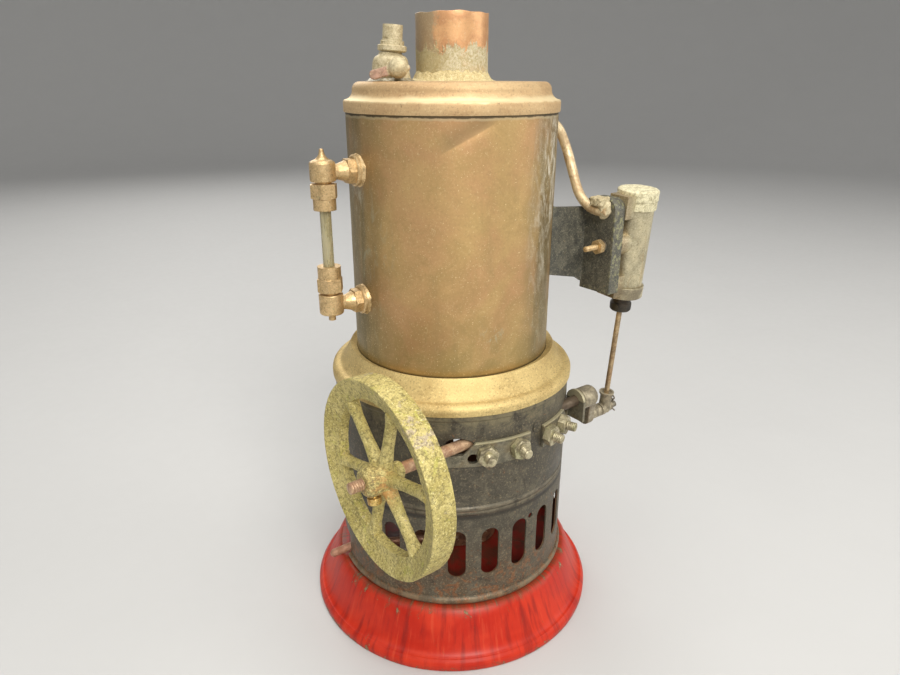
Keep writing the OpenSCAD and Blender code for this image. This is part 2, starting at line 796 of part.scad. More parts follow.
module cylinder_barrel() {
    color("darkgray") at_pivot() difference() {
        union() {
            translate([cyl_x, 0, barrel_bottom]) cylinder(r = cyl_r, h = barrel_top - barrel_bottom);
            rod_x(boss_pad_r, pad_x, cyl_x - 3);
            port_pad(11, barrel_top);
            port_pad(barrel_bottom, -13.6);
        }
        translate([cyl_x, 0, barrel_bottom - over])
            cylinder(r = bore_r, h = barrel_top - barrel_bottom + 2 * over);
        rod_x(pivot_r, pad_x - over, 57.4);
        for (z = [port_up, port_down]) translate([0, 0, z]) rod_x(port_r, pad_x - over, cyl_x - 3);
    }
}

// A raised pad that slides on the port plate, between two heights
module port_pad(z0, z1) translate([pad_x, -pad_w / 2, z0]) cube([7, pad_w, z1 - z0]);

// Space kept clear of a cap round a port pad
module pad_room() translate([pad_x - over, -pad_w / 2, -26]) cube([over + 8, pad_w, 26 + barrel_top]);

module cylinder_top_cap() {
    color("silver") at_pivot() difference() {
        union() {
            translate([cyl_x, 0, 0]) rotate_extrude() polygon([
                [0, top_cap_low], [cap_r - 0.2, top_cap_low], [cap_r - 0.2, 17.4], [cap_r, 17.6],
                [cap_r, top_cap_high - 0.5], [cap_r - 0.6, top_cap_high], [0, top_cap_high]
            ]);
            translate([pad_x + 0.3, -pad_w / 2, barrel_top]) cube([10, pad_w, top_cap_high - barrel_top]);
        }
        translate([cyl_x, 0, 0]) cylinder(r = cyl_r, h = barrel_top);
        pad_room();
    }
}

module cylinder_bottom_cap() {
    color("silver") at_pivot() difference() {
        union() {
            translate([cyl_x, 0, bottom_cap_low])
                cylinder(r = cap_r, h = bottom_cap_high - bottom_cap_low);
            translate([cyl_x, 0, -29.4]) cylinder(r = 3.5, h = 5);
        }
        translate([cyl_x, 0, barrel_bottom]) cylinder(r = cyl_r, h = 10);
        translate([cyl_x, 0, -30]) cylinder(r = 2.4, h = 4.8);
        translate([cyl_x, 0, -30]) cylinder(r = rod_r + run_c, h = 10);
        pad_room();
    }
}

module gland_nut() {
    color("saddlebrown") at_pivot() translate([cyl_x, 0, 0]) difference() {
        rotate_extrude() polygon([
            [0, gland_low], [4.2, gland_low], [4.6, gland_low + 0.5], [4.6, -28.2], [4.2, -27.8],
            [4.2, -25], [0, -25]
        ]);
        translate([0, 0, -29.6]) cylinder(r = 3.55, h = 6);
        translate([0, 0, gland_low - over]) cylinder(r = rod_r + run_c, h = 10);
    }
}

module gland_packing() {
    color("black") at_pivot() translate([cyl_x, 0, 0]) ring(2.35, rod_r + run_c, -29.5, -25.3);
}

module pivot_stud() {
    color("tan") at_pivot() rod_x(pivot_r, 35, 57.3);
}

module pivot_spring() {
    wire_r = 0.35;
    color("tan") at_pivot() for (k = [0 : 1])
        translate([plate_back_x - 0.4 - k * 0.75, 0, 0]) rotate([0, 90, 0]) rotate_extrude()
            translate([2.2, 0]) circle(r = wire_r, $fn = 16);
}

module pivot_nut() {
    color("tan") at_pivot() translate([42, 0, 0]) rotate([0, 90, 0]) difference() {
        hex_bar(5.4, 0, 2.3);
        translate([0, 0, -over]) cylinder(r = pivot_r, h = 6);
    }
}

// ---------------------------------------------------------------- piston assembly

module piston() {
    color("goldenrod") at_pivot() translate([cyl_x, 0, piston_bottom]) difference() {
        cylinder(r = bore_r - run_c, h = piston_h);
        translate([0, 0, piston_h / 2 - 1.2]) ring(bore_r + over, bore_r - 1.4, 0, 2.4);
        translate([0, 0, -over]) cylinder(r = rod_r, h = piston_h - 1);
    }
}

module piston_packing() {
    color("black") at_pivot() translate([cyl_x, 0, piston_bottom + piston_h / 2])
        ring(bore_r - run_c, bore_r - 1.4, -1.2, 1.2);
}

module piston_rod() {
    rod_bottom = -(pin_dist - 4);
    color("sienna") at_pivot() translate([cyl_x, 0, rod_bottom])
        cylinder(r = rod_r, h = piston_bottom + piston_h - 2 - rod_bottom);
}

module rod_end() {
    color("gray") at_pin() difference() {
        union() {
            translate([cyl_x, 0, 0]) rotate_extrude() polygon([
                [0, -1.5], [2.7, -1.5], [2.7, 7.5], [3.5, 8], [3.5, 8.9], [0, 8.9]
            ]);
            rotate([0, 90, 0]) rotate_extrude() polygon([
                [0, link_gap_x + link_gap / 2], [3, link_gap_x + link_gap / 2], [3, 62.4],
                [2.5, 65], [2.3, 68.2], [0, 68.2]
            ]);
        }
        rod_x(1.6, link_gap_x - over, 70);
        translate([cyl_x, 0, 4]) cylinder(r = rod_r, h = 8);
        translate([cyl_x, 0, 8.1]) cylinder(r = 2.4, h = 2);
    }
}

module crank_pin() {
    color("tan") at_pin() difference() {
        rod_x(1.6, link_gap_x + link_gap / 2, 71);
        translate([69.6, 0, -4]) cylinder(r = 0.5, h = 8);
    }
}

module split_pin() {
    color("tan") at_pin() translate([69.6, 0, 0]) union() {
        translate([0, 0, -2.4]) cylinder(r = 0.5, h = 5.6);
        translate([0, 0, 3.4]) rotate([90, 0, 0]) rotate_extrude() translate([0.75, 0])
            circle(r = 0.35, $fn = 16);
    }
}

// ---------------------------------------------------------------- burner

// Upright prism with round ends, its long side along X
module stadium(l, w, z0, z1) {
    for (x = [-1, 1]) translate([x * (l - w) / 2, 0, z0]) cylinder(r = w / 2, h = z1 - z0);
    translate([-(l - w) / 2, -w / 2, z0]) cube([l - w, w, z1 - z0]);
}

wick_x = [-13, 0, 13];

module burner_tank() {
    color("peru") at_az(door_az) difference() {
        stadium(tank_l, tank_w, tank_z, tank_top_z);
        stadium(tank_l - 1.4, tank_w - 1.4, tank_z + 0.7, tank_top_z - 0.7);
        for (x = wick_x) translate([x, 0, tank_top_z - 2]) cylinder(r = 3, h = 4);
        translate([0, -9, tank_top_z - 2]) cylinder(r = 2, h = 4);
    }
}

module wick_tubes() {
    color("peru") at_az(door_az) for (x = wick_x) translate([x, 0, 0])
        ring(3, 2.5, tank_top_z - 4, tube_top_z);
}

module wicks() {
    color("ivory") at_az(door_az) for (x = wick_x) translate([x, 0, tank_z + 1])
        cylinder(r = 2.45, h = tube_top_z + 0.5 - tank_z - 1);
}

module filler_cap() {
    color("peru") at_az(door_az) translate([0, -9, 0]) union() {
        translate([0, 0, tank_top_z]) cylinder(r = 3, h = 2.4);
        translate([0, 0, tank_top_z - 3]) cylinder(r = 1.95, h = 3.2);
    }
}

module burner_handle() {
    droop = atan2(handle_z - handle_tip_z, handle_tip_x - handle_bend_x);
    out = norm([handle_z - handle_tip_z, handle_tip_x - handle_bend_x]);
    knee = 0.15;
    color("lightcoral") at_az(door_az, 0, handle_z) translate([0, handle_y, 0]) union() {
        difference() {
            rod_x(handle_r, handle_root_x, handle_bend_x);
            translate([0, -handle_y, 0]) stadium(tank_l, tank_w, -10, 10);
        }
        translate([handle_bend_x, 0, 0]) {
            sphere(r = handle_r + knee);
            rotate([0, droop, 0]) rotate([0, 90, 0]) rotate_extrude() polygon(concat(
                [[0, 0], [handle_r, 0]], arc([0, out], handle_r, 0, 90, 8)
            ));
        }
    }
}

base();
firebox_shell();
firebox_rivet();
boiler_collar();
boiler_barrel();
boiler_bottom_plate();
boiler_top_cap();
chimney_flue();
whistle_body();
whistle_collar();
whistle_bell();
whistle_lever();
whistle_plug_nut();
gauge_upper_fitting();
gauge_lower_fitting();
gauge_upper_nut();
gauge_lower_nut();
gauge_glass();
gauge_packing();
gauge_drain_screw();
steam_pipe();
steam_pipe_flange();
steam_block();
cylinder_bracket();
flywheel_bearing_bracket();
crank_bearing_bracket();
bracket_bolts();
bracket_nuts();
crankshaft();
flywheel();
flywheel_set_screw();
crank();
cylinder_barrel();
cylinder_top_cap();
cylinder_bottom_cap();
gland_nut();
gland_packing();
pivot_stud();
pivot_spring();
pivot_nut();
piston();
piston_packing();
piston_rod();
rod_end();
crank_pin();
split_pin();
burner_tank();
wick_tubes();
wicks();
filler_cap();
burner_handle();
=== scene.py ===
from math import atan2, cos, degrees, exp, hypot, pi, radians, sin, tan

import bmesh
import bpy
import numpy as np
from mathutils import Matrix, Vector, noise


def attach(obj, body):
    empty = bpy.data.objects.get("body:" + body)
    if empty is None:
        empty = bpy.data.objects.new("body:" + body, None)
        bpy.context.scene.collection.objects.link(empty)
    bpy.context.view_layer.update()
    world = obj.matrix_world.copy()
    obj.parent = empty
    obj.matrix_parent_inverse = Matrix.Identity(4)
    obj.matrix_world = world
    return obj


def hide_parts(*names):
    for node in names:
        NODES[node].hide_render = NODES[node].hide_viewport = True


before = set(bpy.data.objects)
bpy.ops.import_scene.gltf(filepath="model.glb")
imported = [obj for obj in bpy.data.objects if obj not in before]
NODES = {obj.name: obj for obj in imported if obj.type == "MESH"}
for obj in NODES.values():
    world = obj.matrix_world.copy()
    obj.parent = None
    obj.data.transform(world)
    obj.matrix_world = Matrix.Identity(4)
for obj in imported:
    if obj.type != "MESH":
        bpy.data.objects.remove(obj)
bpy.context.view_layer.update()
MM = 0.001

# ---------- frame positions, mm
SHAFT_Y, SHAFT_Z = -42.5, 99.9
PIVOT_Z = 168.0
THROW, CRANK_REST = 15.5, radians(22)
PIN_Y = SHAFT_Y + THROW * sin(CRANK_REST)
PIN_Z = SHAFT_Z - THROW * cos(CRANK_REST)
TILT = atan2(PIN_Y - SHAFT_Y, PIVOT_Z - PIN_Z)
CYL_X = 64.0
WHEEL_X = -63.0
BOLT_Z = 96.4
BOILER_R, FLUE_R = 41.5, 13.8
DOOR_AZ, GAUGE_AZ, PIPE_AZ = 150, 174.5, -24.5
PHOTO_AZ = radians(-37.2)
PHOTO_LEFT = (-0.797, 0.605, 0)


def shift(x, y, z):
    return Matrix.Translation((x, y, z))


def turn(deg, axis):
    return Matrix.Rotation(radians(deg), 4, axis)


ALONG_X = turn(90, "Y")
AT_SHAFT = shift(0, SHAFT_Y, SHAFT_Z)
AT_PIVOT = shift(0, SHAFT_Y, PIVOT_Z) @ Matrix.Rotation(TILT, 4, "X")
AT_PIN = shift(0, PIN_Y, PIN_Z) @ Matrix.Rotation(TILT, 4, "X")


def at_az(az, r=0.0, z=0.0):
    return turn(az, "Z") @ shift(r, 0, z)


def around(az, z, r=BOILER_R):
    return (r * cos(radians(az)), r * sin(radians(az)), z)


AT_WHISTLE = shift(*around(170.8, 231.5, 25.6)) @ Matrix.Rotation(PHOTO_AZ, 4, "Z")
AT_PLUG = AT_WHISTLE @ shift(3.6, -10.2, 4.3)

# The dent's middle, and the slope of its crease
DENT_AZ, DENT_Z = -119.0, 213.0
DENT_SIDE = (-sin(radians(DENT_AZ)), cos(radians(DENT_AZ)), 0)
CREASE_COS, CREASE_SIN = 0.882, 0.472

# ---------- camera, light, floor
def add_object(name, data):
    ob = bpy.data.objects.new(name, data)
    bpy.context.scene.collection.objects.link(ob)
    return ob


cam = add_object("camera", bpy.data.cameras.new("camera"))
cam.data.sensor_width = 36.0
cam.data.lens = 26.49
cam.data.clip_start, cam.data.clip_end = 0.01, 20
cam.location = (-0.1667, -0.2184, 0.2313)
cam.rotation_euler = Vector((0.5639, 0.7429, -0.3606)).to_track_quat("-Z", "Y").to_euler()
bpy.context.scene.camera = cam
bpy.context.scene.view_settings.view_transform = "Standard"


def area_light(name, place, size, watts, colour):
    light = bpy.data.lights.new(name, "AREA")
    light.shape, light.size = "DISK", size
    light.energy, light.color = watts, colour
    ob = add_object(name, light)
    ob.location = place
    aim = Vector((0, 0, 0.12)) - Vector(place)
    ob.rotation_euler = aim.to_track_quat("-Z", "Y").to_euler()


area_light("key", (-0.42, -1.15, 1.05), 0.9, 23, (1.0, 0.97, 0.92))
area_light("left", (-1.3, -0.1, 0.9), 0.9, 3, (1.0, 0.98, 0.94))
area_light("top", (0.0, 0.0, 1.45), 1.0, 11, (1.0, 0.98, 0.94))
area_light("fill", (1.0, -0.8, 0.55), 0.9, 5, (1.0, 0.98, 0.95))
area_light("back", (0.3, 1.2, 0.85), 0.8, 5, (1.0, 0.98, 0.95))

world = bpy.data.worlds.new("studio")
bpy.context.scene.world = world
world.use_nodes = True
world.node_tree.nodes["Background"].inputs["Color"].default_value = (0.8, 0.8, 0.8, 1)
world.node_tree.nodes["Background"].inputs["Strength"].default_value = 0.38


# ---------- node materials
class Mat:
    """A material with a Principled shader and short calls for the nodes that feed it.

    Positions (co) are in mm in the part's frame, and c is the colour laid down so far.
    """

    def __init__(self, name, metallic=0.0, bevel=0.0):
        self.m = bpy.data.materials.new(name)
        self.m.use_nodes = True
        self.t = self.m.node_tree
        self.t.nodes.clear()
        self.b = self.new("BsdfPrincipled", {"Metallic": metallic})
        self.link(self.b.outputs[0], self.new("OutputMaterial").inputs[0])
        self.co = self.vmath("SCALE", self.new("TexCoord").outputs["Object"], scale=1 / MM)
        self.c = self.normal = None
        if bevel:
            self.normal = self.new("Bevel", {"Radius": bevel * MM}, samples=4).outputs[0]

    def new(self, kind, inputs=None, **props):
        node = self.t.nodes.new("ShaderNode" + kind)
        for key, value in props.items():
            setattr(node, key, value)
        for key, value in (inputs or {}).items():
            if value is not None:
                self.link(value, node.inputs[key])
        return node

    def link(self, value, socket):
        if isinstance(value, bpy.types.NodeSocket):
            self.t.links.new(value, socket)
        elif isinstance(value, (tuple, list)) and len(value) == 3 and socket.type == "RGBA":
            socket.default_value = (*value, 1)
        else:
            socket.default_value = value

    def vmath(self, op, a, b=None, scale=None):
        node = self.new("VectorMath", {0: a, 1: b, "Scale": scale}, operation=op)
        return node.outputs["Value" if op in ("LENGTH", "DOT_PRODUCT") else "Vector"]

    def math(self, op, a, b=0.0, clamp=False):
        return self.new("Math", {0: a, 1: b}, operation=op, use_clamp=clamp).outputs[0]

    def chain(self, op, values):
        out = values[0]
        for value in values[1:]:
            out = self.math(op, out, value)
        return out

    def both(self, *values):
        return self.chain("MULTIPLY", values)

    def add(self, *values):
        return self.chain("ADD", values)

    def most(self, *values):
        return self.chain("MAXIMUM", values)

    def xyz(self):
        return self.new("SeparateXYZ", {0: self.co}).outputs

    def stretched(self, x, y, z):
        return self.vmath("MULTIPLY", self.co, (x, y, z))

    def unrolled(self, radius, z=1.0):
        """Positions pushed out or in to one radius from the Z axis, with heights times z."""
        side = self.vmath("SCALE", self.vmath("NORMALIZE", self.stretched(1, 1, 0)), scale=radius)
        return self.vmath("ADD", side, self.stretched(0, 0, z))

    def along(self, direction):
        return self.vmath("DOT_PRODUCT", self.co, direction)

    def from_axis(self):
        return self.vmath("LENGTH", self.stretched(1, 1, 0))

    def noise(self, size, detail=3.0, rough=0.55, warp=0.0, vec=None):
        inputs = {"Vector": self.co if vec is None else vec, "Scale": 1.0 / size, "Detail": detail,
                  "Roughness": rough, "Distortion": warp}
        return self.new("TexNoise", inputs).outputs[0]

    def span(self, value, lo, hi, a=0.0, b=1.0):
        """value from lo..hi to a..b, clamped and eased."""
        inputs = {"Value": value, "From Min": lo, "From Max": hi, "To Min": a, "To Max": b}
        return self.new("MapRange", inputs, interpolation_type="SMOOTHSTEP", clamp=True).outputs[0]

    def near(self, point, size, soft, squash=(1, 1, 1)):
        """1 within soft times size of a point, 0 beyond size."""
        away = self.vmath("MULTIPLY", self.vmath("SUBTRACT", self.co, point), squash)
        return self.span(self.vmath("LENGTH", away), size * soft, size, 1.0, 0.0)

    def mix(self, fac, a, b):
        node = self.new("Mix", {0: fac, 6: a, 7: b}, data_type="RGBA", clamp_result=True)
        return node.outputs[2]

    def coat(self, mask, over, amount=1.0):
        """Lays a colour over what is there, where the mask is high."""
        self.c = self.mix(self.both(mask, amount), self.c, over)

    def speckle(self, grain, dark, pale, amount):
        """Dark pits and pale dust in the two tails of one noise."""
        self.coat(self.span(grain, 0.46, 0.34, 0, amount), dark)
        self.coat(self.span(grain, 0.55, 0.68, 0, amount), pale)

    def finish(self, rough, bump, **sockets):
        """bump is a list of (height, distance in mm, strength); sockets are other shader inputs."""
        for height, distance, strength in bump:
            inputs = {"Strength": strength, "Distance": distance * MM, "Height": height,
                      "Normal": self.normal}
            self.normal = self.new("Bump", inputs).outputs[0]
        sockets.update(Base_Color=self.c, Roughness=rough, Normal=self.normal)
        for key, value in sockets.items():
            self.link(value, self.b.inputs[key.replace("_", " ")])
        return self.m


def boiler_brass():
    m = Mat("aged_boiler_brass", metallic=0.74)
    wide = m.noise(46, 3, 0.6, 0.4)
    mid = m.noise(13, 4, 0.62, 0.6)
    fine = m.noise(0.9, 3, 0.7)
    runs = m.noise(7, 4, 0.6, 0.3, m.unrolled(BOILER_R, 0.13))
    z = m.xyz()[2]

    def band(az, size, tall=0.15, mid_z=172, soft=0.35):
        return m.near(around(az, mid_z), size, soft, (1, 1, tall))

    m.c = m.mix(m.span(wide, 0.4, 0.62), (0.57, 0.385, 0.165), (0.53, 0.315, 0.15))
    m.coat(m.span(mid, 0.4, 0.68, 0, 0.55), (0.4, 0.28, 0.115))
    low = m.span(z, 124, 160, 0.6, 0.0)
    m.coat(m.both(low, m.span(mid, 0.25, 0.6, 0.4, 1)), (0.3, 0.23, 0.085))
    # Olive tarnish streaks, and painted shade down both sides of the boiler
    olive = m.most(band(158, 34), band(-55, 27))
    m.coat(m.both(olive, m.span(runs, 0.3, 0.6, 0.45, 1)), (0.19, 0.155, 0.075), 0.85)
    m.coat(m.span(runs, 0.55, 0.8, 0, 0.3), (0.28, 0.21, 0.1))
    m.speckle(fine, (0.3, 0.21, 0.09), (0.74, 0.57, 0.3), 0.22)
    m.coat(m.span(m.noise(0.55, 2, 0.6), 0.66, 0.72, 0, 0.8), (0.86, 0.72, 0.44))
    # The crease of the dent, dark above it
    u = m.along(DENT_SIDE)
    v = m.math("SUBTRACT", z, DENT_Z)
    along = m.add(m.both(u, CREASE_COS), m.both(v, CREASE_SIN))
    across = m.math("SUBTRACT", m.both(v, CREASE_COS), m.both(u, CREASE_SIN))
    reach = m.span(m.math("ABSOLUTE", along), 14, 6)
    facing = m.span(m.along((-0.48, -0.87, 0)), 20, 30)
    shade = m.both(reach, facing, m.span(across, -0.3, 0.5), m.span(across, 9, 1.5))
    m.coat(shade, (0.24, 0.165, 0.08), 0.6)
    # Lime and verdigris where water ran down beside the fittings
    chalk = m.noise(3.4, 5, 0.74, 1.0, m.unrolled(BOILER_R, 0.4))
    smear = m.noise(1.1, 3, 0.7)
    lime = m.most(band(-62, 12, 0.33, 198, 0.3), m.both(band(-68, 16, 0.25, 185, 0.1), 0.6),
                  m.both(band(172, 9, 0.4, 196, 0.2), 0.6))
    lime = m.both(lime, m.span(chalk, 0.42, 0.66), m.span(smear, 0.3, 0.6, 0.5, 1))
    m.coat(lime, (0.78, 0.74, 0.63), 0.85)
    green = m.most(band(-62, 20, 1, 138, 0.2), band(-105, 9, 1, 140, 0.2), band(178, 22, 0.5, 165, 0.2))
    m.coat(m.both(green, m.span(chalk, 0.52, 0.7)), (0.44, 0.46, 0.33), 0.55)
    # Dust, painted shadow in the gap under the cap, and a dark band where the boiler meets the collar
    seam = m.add(z, m.both(m.noise(5, 4, 0.6), 1.6))
    m.coat(m.span(seam, 219.4, 220.0), (0.6, 0.52, 0.34), 0.4)
    # Painted shadow under the cap's lower edge
    m.coat(m.span(seam, 220.3, 220.7), (0.06, 0.045, 0.025), 0.85)
    m.coat(m.span(z, 125.4, 124.3), (0.05, 0.04, 0.02), 0.8)
    # Stray scratches
    line = m.noise(9, 2, 0.5, 2.5, m.stretched(1, 1, 0.7))
    scratch = m.both(m.span(m.math("ABSOLUTE", m.math("SUBTRACT", line, 0.5)), 0.0, 0.006, 1, 0),
                     m.span(m.noise(6, 2), 0.57, 0.66))
    m.coat(scratch, (0.82, 0.7, 0.42), 0.6)
    rough = m.math("ADD", m.span(mid, 0.3, 0.75, 0.45, 0.58), m.both(lime, 0.3), clamp=True)
    return m.finish(rough, [(fine, 0.05, 0.35), (mid, 0.25, 0.12), (lime, 0.12, 0.5)])


def spun_brass(name, base, deep, pale, spots, metallic, edge_z=0.0, dusty=0.0):
    """Lighter brass of the cap and collar, dull with fine corrosion, and dust above edge_z."""
    m = Mat(name, metallic=metallic)
    wide = m.noise(20, 3, 0.6, 0.5)
    fine = m.noise(0.75, 3, 0.7)
    rings = m.noise(1.1, 3, 0.6, 0.0, m.unrolled(4, 1.0))
    m.c = m.mix(m.span(wide, 0.38, 0.66), base, deep)
    m.coat(m.span(rings, 0.5, 0.75, 0, 0.3), deep)
    m.speckle(fine, tuple(0.45 * c for c in deep), pale, spots)
    m.coat(m.span(m.noise(1.6, 4, 0.75), 0.38, 0.3, 0, 0.7), tuple(0.4 * c for c in deep))
    if dusty:
        wave = m.add(m.xyz()[2], m.both(m.noise(7, 4, 0.6), 2.4))
        dust = m.both(m.span(wave, edge_z, edge_z + 0.8), m.span(wave, edge_z + 2.8, edge_z + 1.3))
        m.coat(m.both(dust, dusty), pale)
    rough = m.span(fine, 0.3, 0.7, 0.5, 0.7)
    return m.finish(rough, [(fine, 0.08, 0.55), (wide, 0.3, 0.1)])


def flue_copper():
    m = Mat("smeared_flue_copper", metallic=0.45)
    z = m.xyz()[2]
    wide = m.noise(8, 4, 0.62, 0.6)
    fine = m.noise(0.8, 4, 0.75)
    streak = m.noise(4.2, 6, 0.78, 0.6, m.unrolled(FLUE_R, 0.55))
    m.c = m.mix(m.span(wide, 0.38, 0.62), (0.7, 0.4, 0.19), (0.58, 0.3, 0.14))
    m.coat(m.span(streak, 0.58, 0.72, 0, 0.6), (0.36, 0.26, 0.16))
    # Painted shade on the left side
    left = m.add(m.along(PHOTO_LEFT), m.both(streak, 12))
    m.coat(m.span(left, 10.5, 13.5, 0, 0.7), (0.36, 0.31, 0.2))
    # Pale crust grown up from the foot with a ragged edge
    ragged = m.add(z, m.both(m.math("SUBTRACT", streak, 0.5), 22))
    crust = m.span(ragged, 243.4, 242.4)
    pale = m.mix(m.span(m.noise(2.0, 5, 0.75, 1.5), 0.36, 0.62), (0.46, 0.4, 0.22), (0.66, 0.62, 0.46))
    # The crust is darker on the left side too, painted shade
    pale = m.mix(m.span(left, 6, 12, 0, 0.65), pale, (0.4, 0.33, 0.15))
    m.coat(m.both(crust, m.span(wide, 0.3, 0.5, 0.8, 0.97)), pale)
    m.speckle(fine, (0.24, 0.18, 0.09), (0.82, 0.72, 0.5), 0.28)
    # Soot and painted shade inside the top of the flue, darker deeper down
    inside = m.span(m.from_axis(), 13.3, 13.2)
    m.coat(m.both(inside, m.span(z, 255, 246, 0.4, 0.95)), (0.025, 0.02, 0.015))
    height = m.add(m.both(crust, 0.6), m.both(crust, fine, 0.8))
    return m.finish(m.span(crust, 0, 1, 0.42, 0.75), [(height, 0.4, 0.6), (fine, 0.07, 0.4)])


def red_paint():
    m = Mat("worn_red_paint")
    z = m.xyz()[2]
    streaks = m.noise(2.9, 4, 0.62, 0.2, m.unrolled(60, 0.14))
    wide = m.noise(19, 3, 0.55, 0.6)
    fine = m.noise(1.0, 4, 0.7)
    chip = m.noise(3.4, 5, 0.72, 0.7, m.unrolled(60, 0.6))
    m.c = m.mix(m.span(wide, 0.36, 0.66), (0.42, 0.016, 0.005), (0.52, 0.03, 0.009))
    m.coat(m.span(streaks, 0.48, 0.72, 0, 0.75), (0.22, 0.01, 0.006))
    m.coat(m.span(streaks, 0.44, 0.3, 0, 0.35), (0.62, 0.085, 0.035))
    wear = m.add(chip, m.span(z, 15, 22.5, 0.0, 0.09), m.span(z, 4.5, 1.0, 0.0, 0.13))
    bare = m.span(wear, 0.69, 0.72)
    m.coat(m.span(wear, 0.62, 0.7, 0, 0.55), (0.2, 0.05, 0.022))
    metal = m.mix(m.span(fine, 0.4, 0.6), (0.15, 0.12, 0.065), (0.27, 0.22, 0.12))
    m.coat(bare, metal, 0.9)
    m.coat(m.span(fine, 0.7, 0.8, 0, 0.4), (0.6, 0.3, 0.18))
    # Soot and painted shade on the floor inside the firebox, and grime with painted shadow against its foot
    away = m.from_axis()
    inner = m.both(m.span(away, 51.2, 50.4), m.span(z, 22, 22.6))
    soot = m.mix(m.span(m.noise(8, 4), 0.4, 0.62), (0.24, 0.022, 0.014), (0.09, 0.035, 0.02))
    m.coat(inner, soot, 0.85)
    # Grime and the painted shadow of the firebox bead, on the base round its foot
    grime = m.both(m.span(away, 56.5, 53.5), m.span(away, 51, 52.5), m.span(chip, 0.3, 0.55))
    m.coat(grime, (0.1, 0.055, 0.025), 0.6)
    rough = m.math("ADD", m.span(wide, 0.3, 0.7, 0.33, 0.46), m.both(bare, 0.25), clamp=True)
    height = m.math("SUBTRACT", m.both(streaks, 0.25), m.both(bare, 0.6))
    return m.finish(rough, [(height, 0.14, 0.6), (fine, 0.04, 0.3)], Specular_IOR_Level=0.28)


def firebox_black():
    m = Mat("worn_firebox_black", metallic=0.35, bevel=0.22)
    z = m.xyz()[2]
    wide = m.noise(17, 4, 0.6, 0.6)
    mid = m.noise(4.5, 4, 0.65, 0.4)
    fine = m.noise(0.8, 3, 0.7)
    rust = m.noise(3.6, 5, 0.74, 0.6)
    low = m.span(z, 66, 26.5)
    black = m.mix(low, (0.062, 0.055, 0.04), (0.105, 0.072, 0.04))
    m.c = m.mix(m.span(wide, 0.36, 0.66), black, (0.1, 0.088, 0.062))
    m.coat(m.span(mid, 0.5, 0.7, 0, 0.5), (0.185, 0.16, 0.108))
    brown = m.add(rust, m.both(low, m.span(z, 45, 26.5, 0.05, 0.12)))
    m.coat(m.span(brown, 0.6, 0.7, 0, 0.85), (0.21, 0.088, 0.034))
    m.coat(m.span(mid, 0.42, 0.32, 0, 0.6), (0.03, 0.024, 0.018))
    m.speckle(fine, (0.025, 0.02, 0.014), (0.34, 0.27, 0.155), 0.45)
    # Dust under the collar
    dust = m.both(m.span(z, 103, 111), m.span(mid, 0.3, 0.62))
    m.coat(dust, (0.26, 0.22, 0.12), 0.5)
    # Bare metal with a painted highlight on the crest of the bottom bead, painted shade at its foot, and a
    # painted highlight and painted shade on the swaged ring
    crest = m.both(m.span(z, 26.6, 26.0), m.span(z, 23.6, 24.3))
    shine = m.both(crest, m.span(m.noise(5, 4, 0.6, 0, m.unrolled(52, 0.2)), 0.38, 0.62))
    m.coat(shine, (0.25, 0.18, 0.105), 0.6)
    # Painted shade at the foot of the firebox, under the bottom bead
    foot = m.span(z, 24.0, 23.2)
    m.coat(foot, (0.04, 0.028, 0.018), 0.8)
    # The swaged ring, as a bump and as a painted highlight
    bead = m.both(m.span(z, 67.2, 69.0), m.span(z, 72.2, 70.6))
    m.coat(m.both(bead, m.span(mid, 0.3, 0.6)), (0.24, 0.205, 0.14), 0.55)
    shade = m.both(m.span(z, 65.0, 66.4), m.span(z, 68.0, 67.0))
    m.coat(shade, (0.022, 0.018, 0.014), 0.75)
    # Soot and rust inside, with painted shade darker towards the top
    inner = m.span(m.from_axis(), 51.5, 51.1)
    soot_and_upper_shade = m.span(m.add(wide, m.span(z, 40, 75, 0.0, 0.25)), 0.5, 0.75)
    m.coat(inner, m.mix(soot_and_upper_shade, (0.24, 0.125, 0.065), (0.04, 0.03, 0.022)), 0.9)
    rough = m.math("ADD", m.span(wide, 0.3, 0.7, 0.42, 0.6), m.both(inner, 0.25), clamp=True)
    return m.finish(rough, [(bead, 1.2, 0.8), (mid, 0.25, 0.4), (fine, 0.05, 0.5)])


def wheel_paint():
    m = Mat("olive_wheel_paint", metallic=0.1)
    lumps = m.noise(1.5, 4, 0.7)
    fine = m.noise(0.7, 3, 0.75)
    wide = m.noise(13, 3, 0.6, 0.8)
    m.c = m.mix(m.span(wide, 0.36, 0.64), (0.42, 0.345, 0.105), (0.56, 0.47, 0.18))
    m.coat(m.span(m.noise(7, 4, 0.6, 1.0), 0.56, 0.7, 0, 0.6), (0.4, 0.385, 0.055))
    worn = m.most(m.near((-60.5, -66, 128), 15, 0.1), m.both(m.near((-60, -30, 136), 10, 0.1), 0.6))
    bare = m.add(m.noise(3.2, 4, 0.7, 0.5), m.both(worn, 0.17))
    m.coat(m.span(bare, 0.64, 0.7, 0, 0.75), (0.4, 0.32, 0.26))
    m.coat(m.span(lumps, 0.38, 0.52, 0.7, 0), (0.17, 0.14, 0.045))
    m.speckle(fine, (0.11, 0.085, 0.025), (0.84, 0.76, 0.38), 0.75)
    hub = m.near((-66, SHAFT_Y - 3, SHAFT_Z - 2), 10, 0.2)
    rust = m.both(hub, m.span(m.noise(2.2, 4, 0.7), 0.44, 0.56))
    m.coat(rust, (0.52, 0.25, 0.07), 0.8)
    grime = m.both(m.near((-71, SHAFT_Y, SHAFT_Z), 9, 0.6), m.span(fine, 0.44, 0.56, 0.55, 0))
    m.coat(grime, (0.14, 0.1, 0.045))
    return m.finish(m.span(fine, 0.3, 0.7, 0.55, 0.78), [(lumps, 0.22, 0.6), (fine, 0.12, 0.7)])


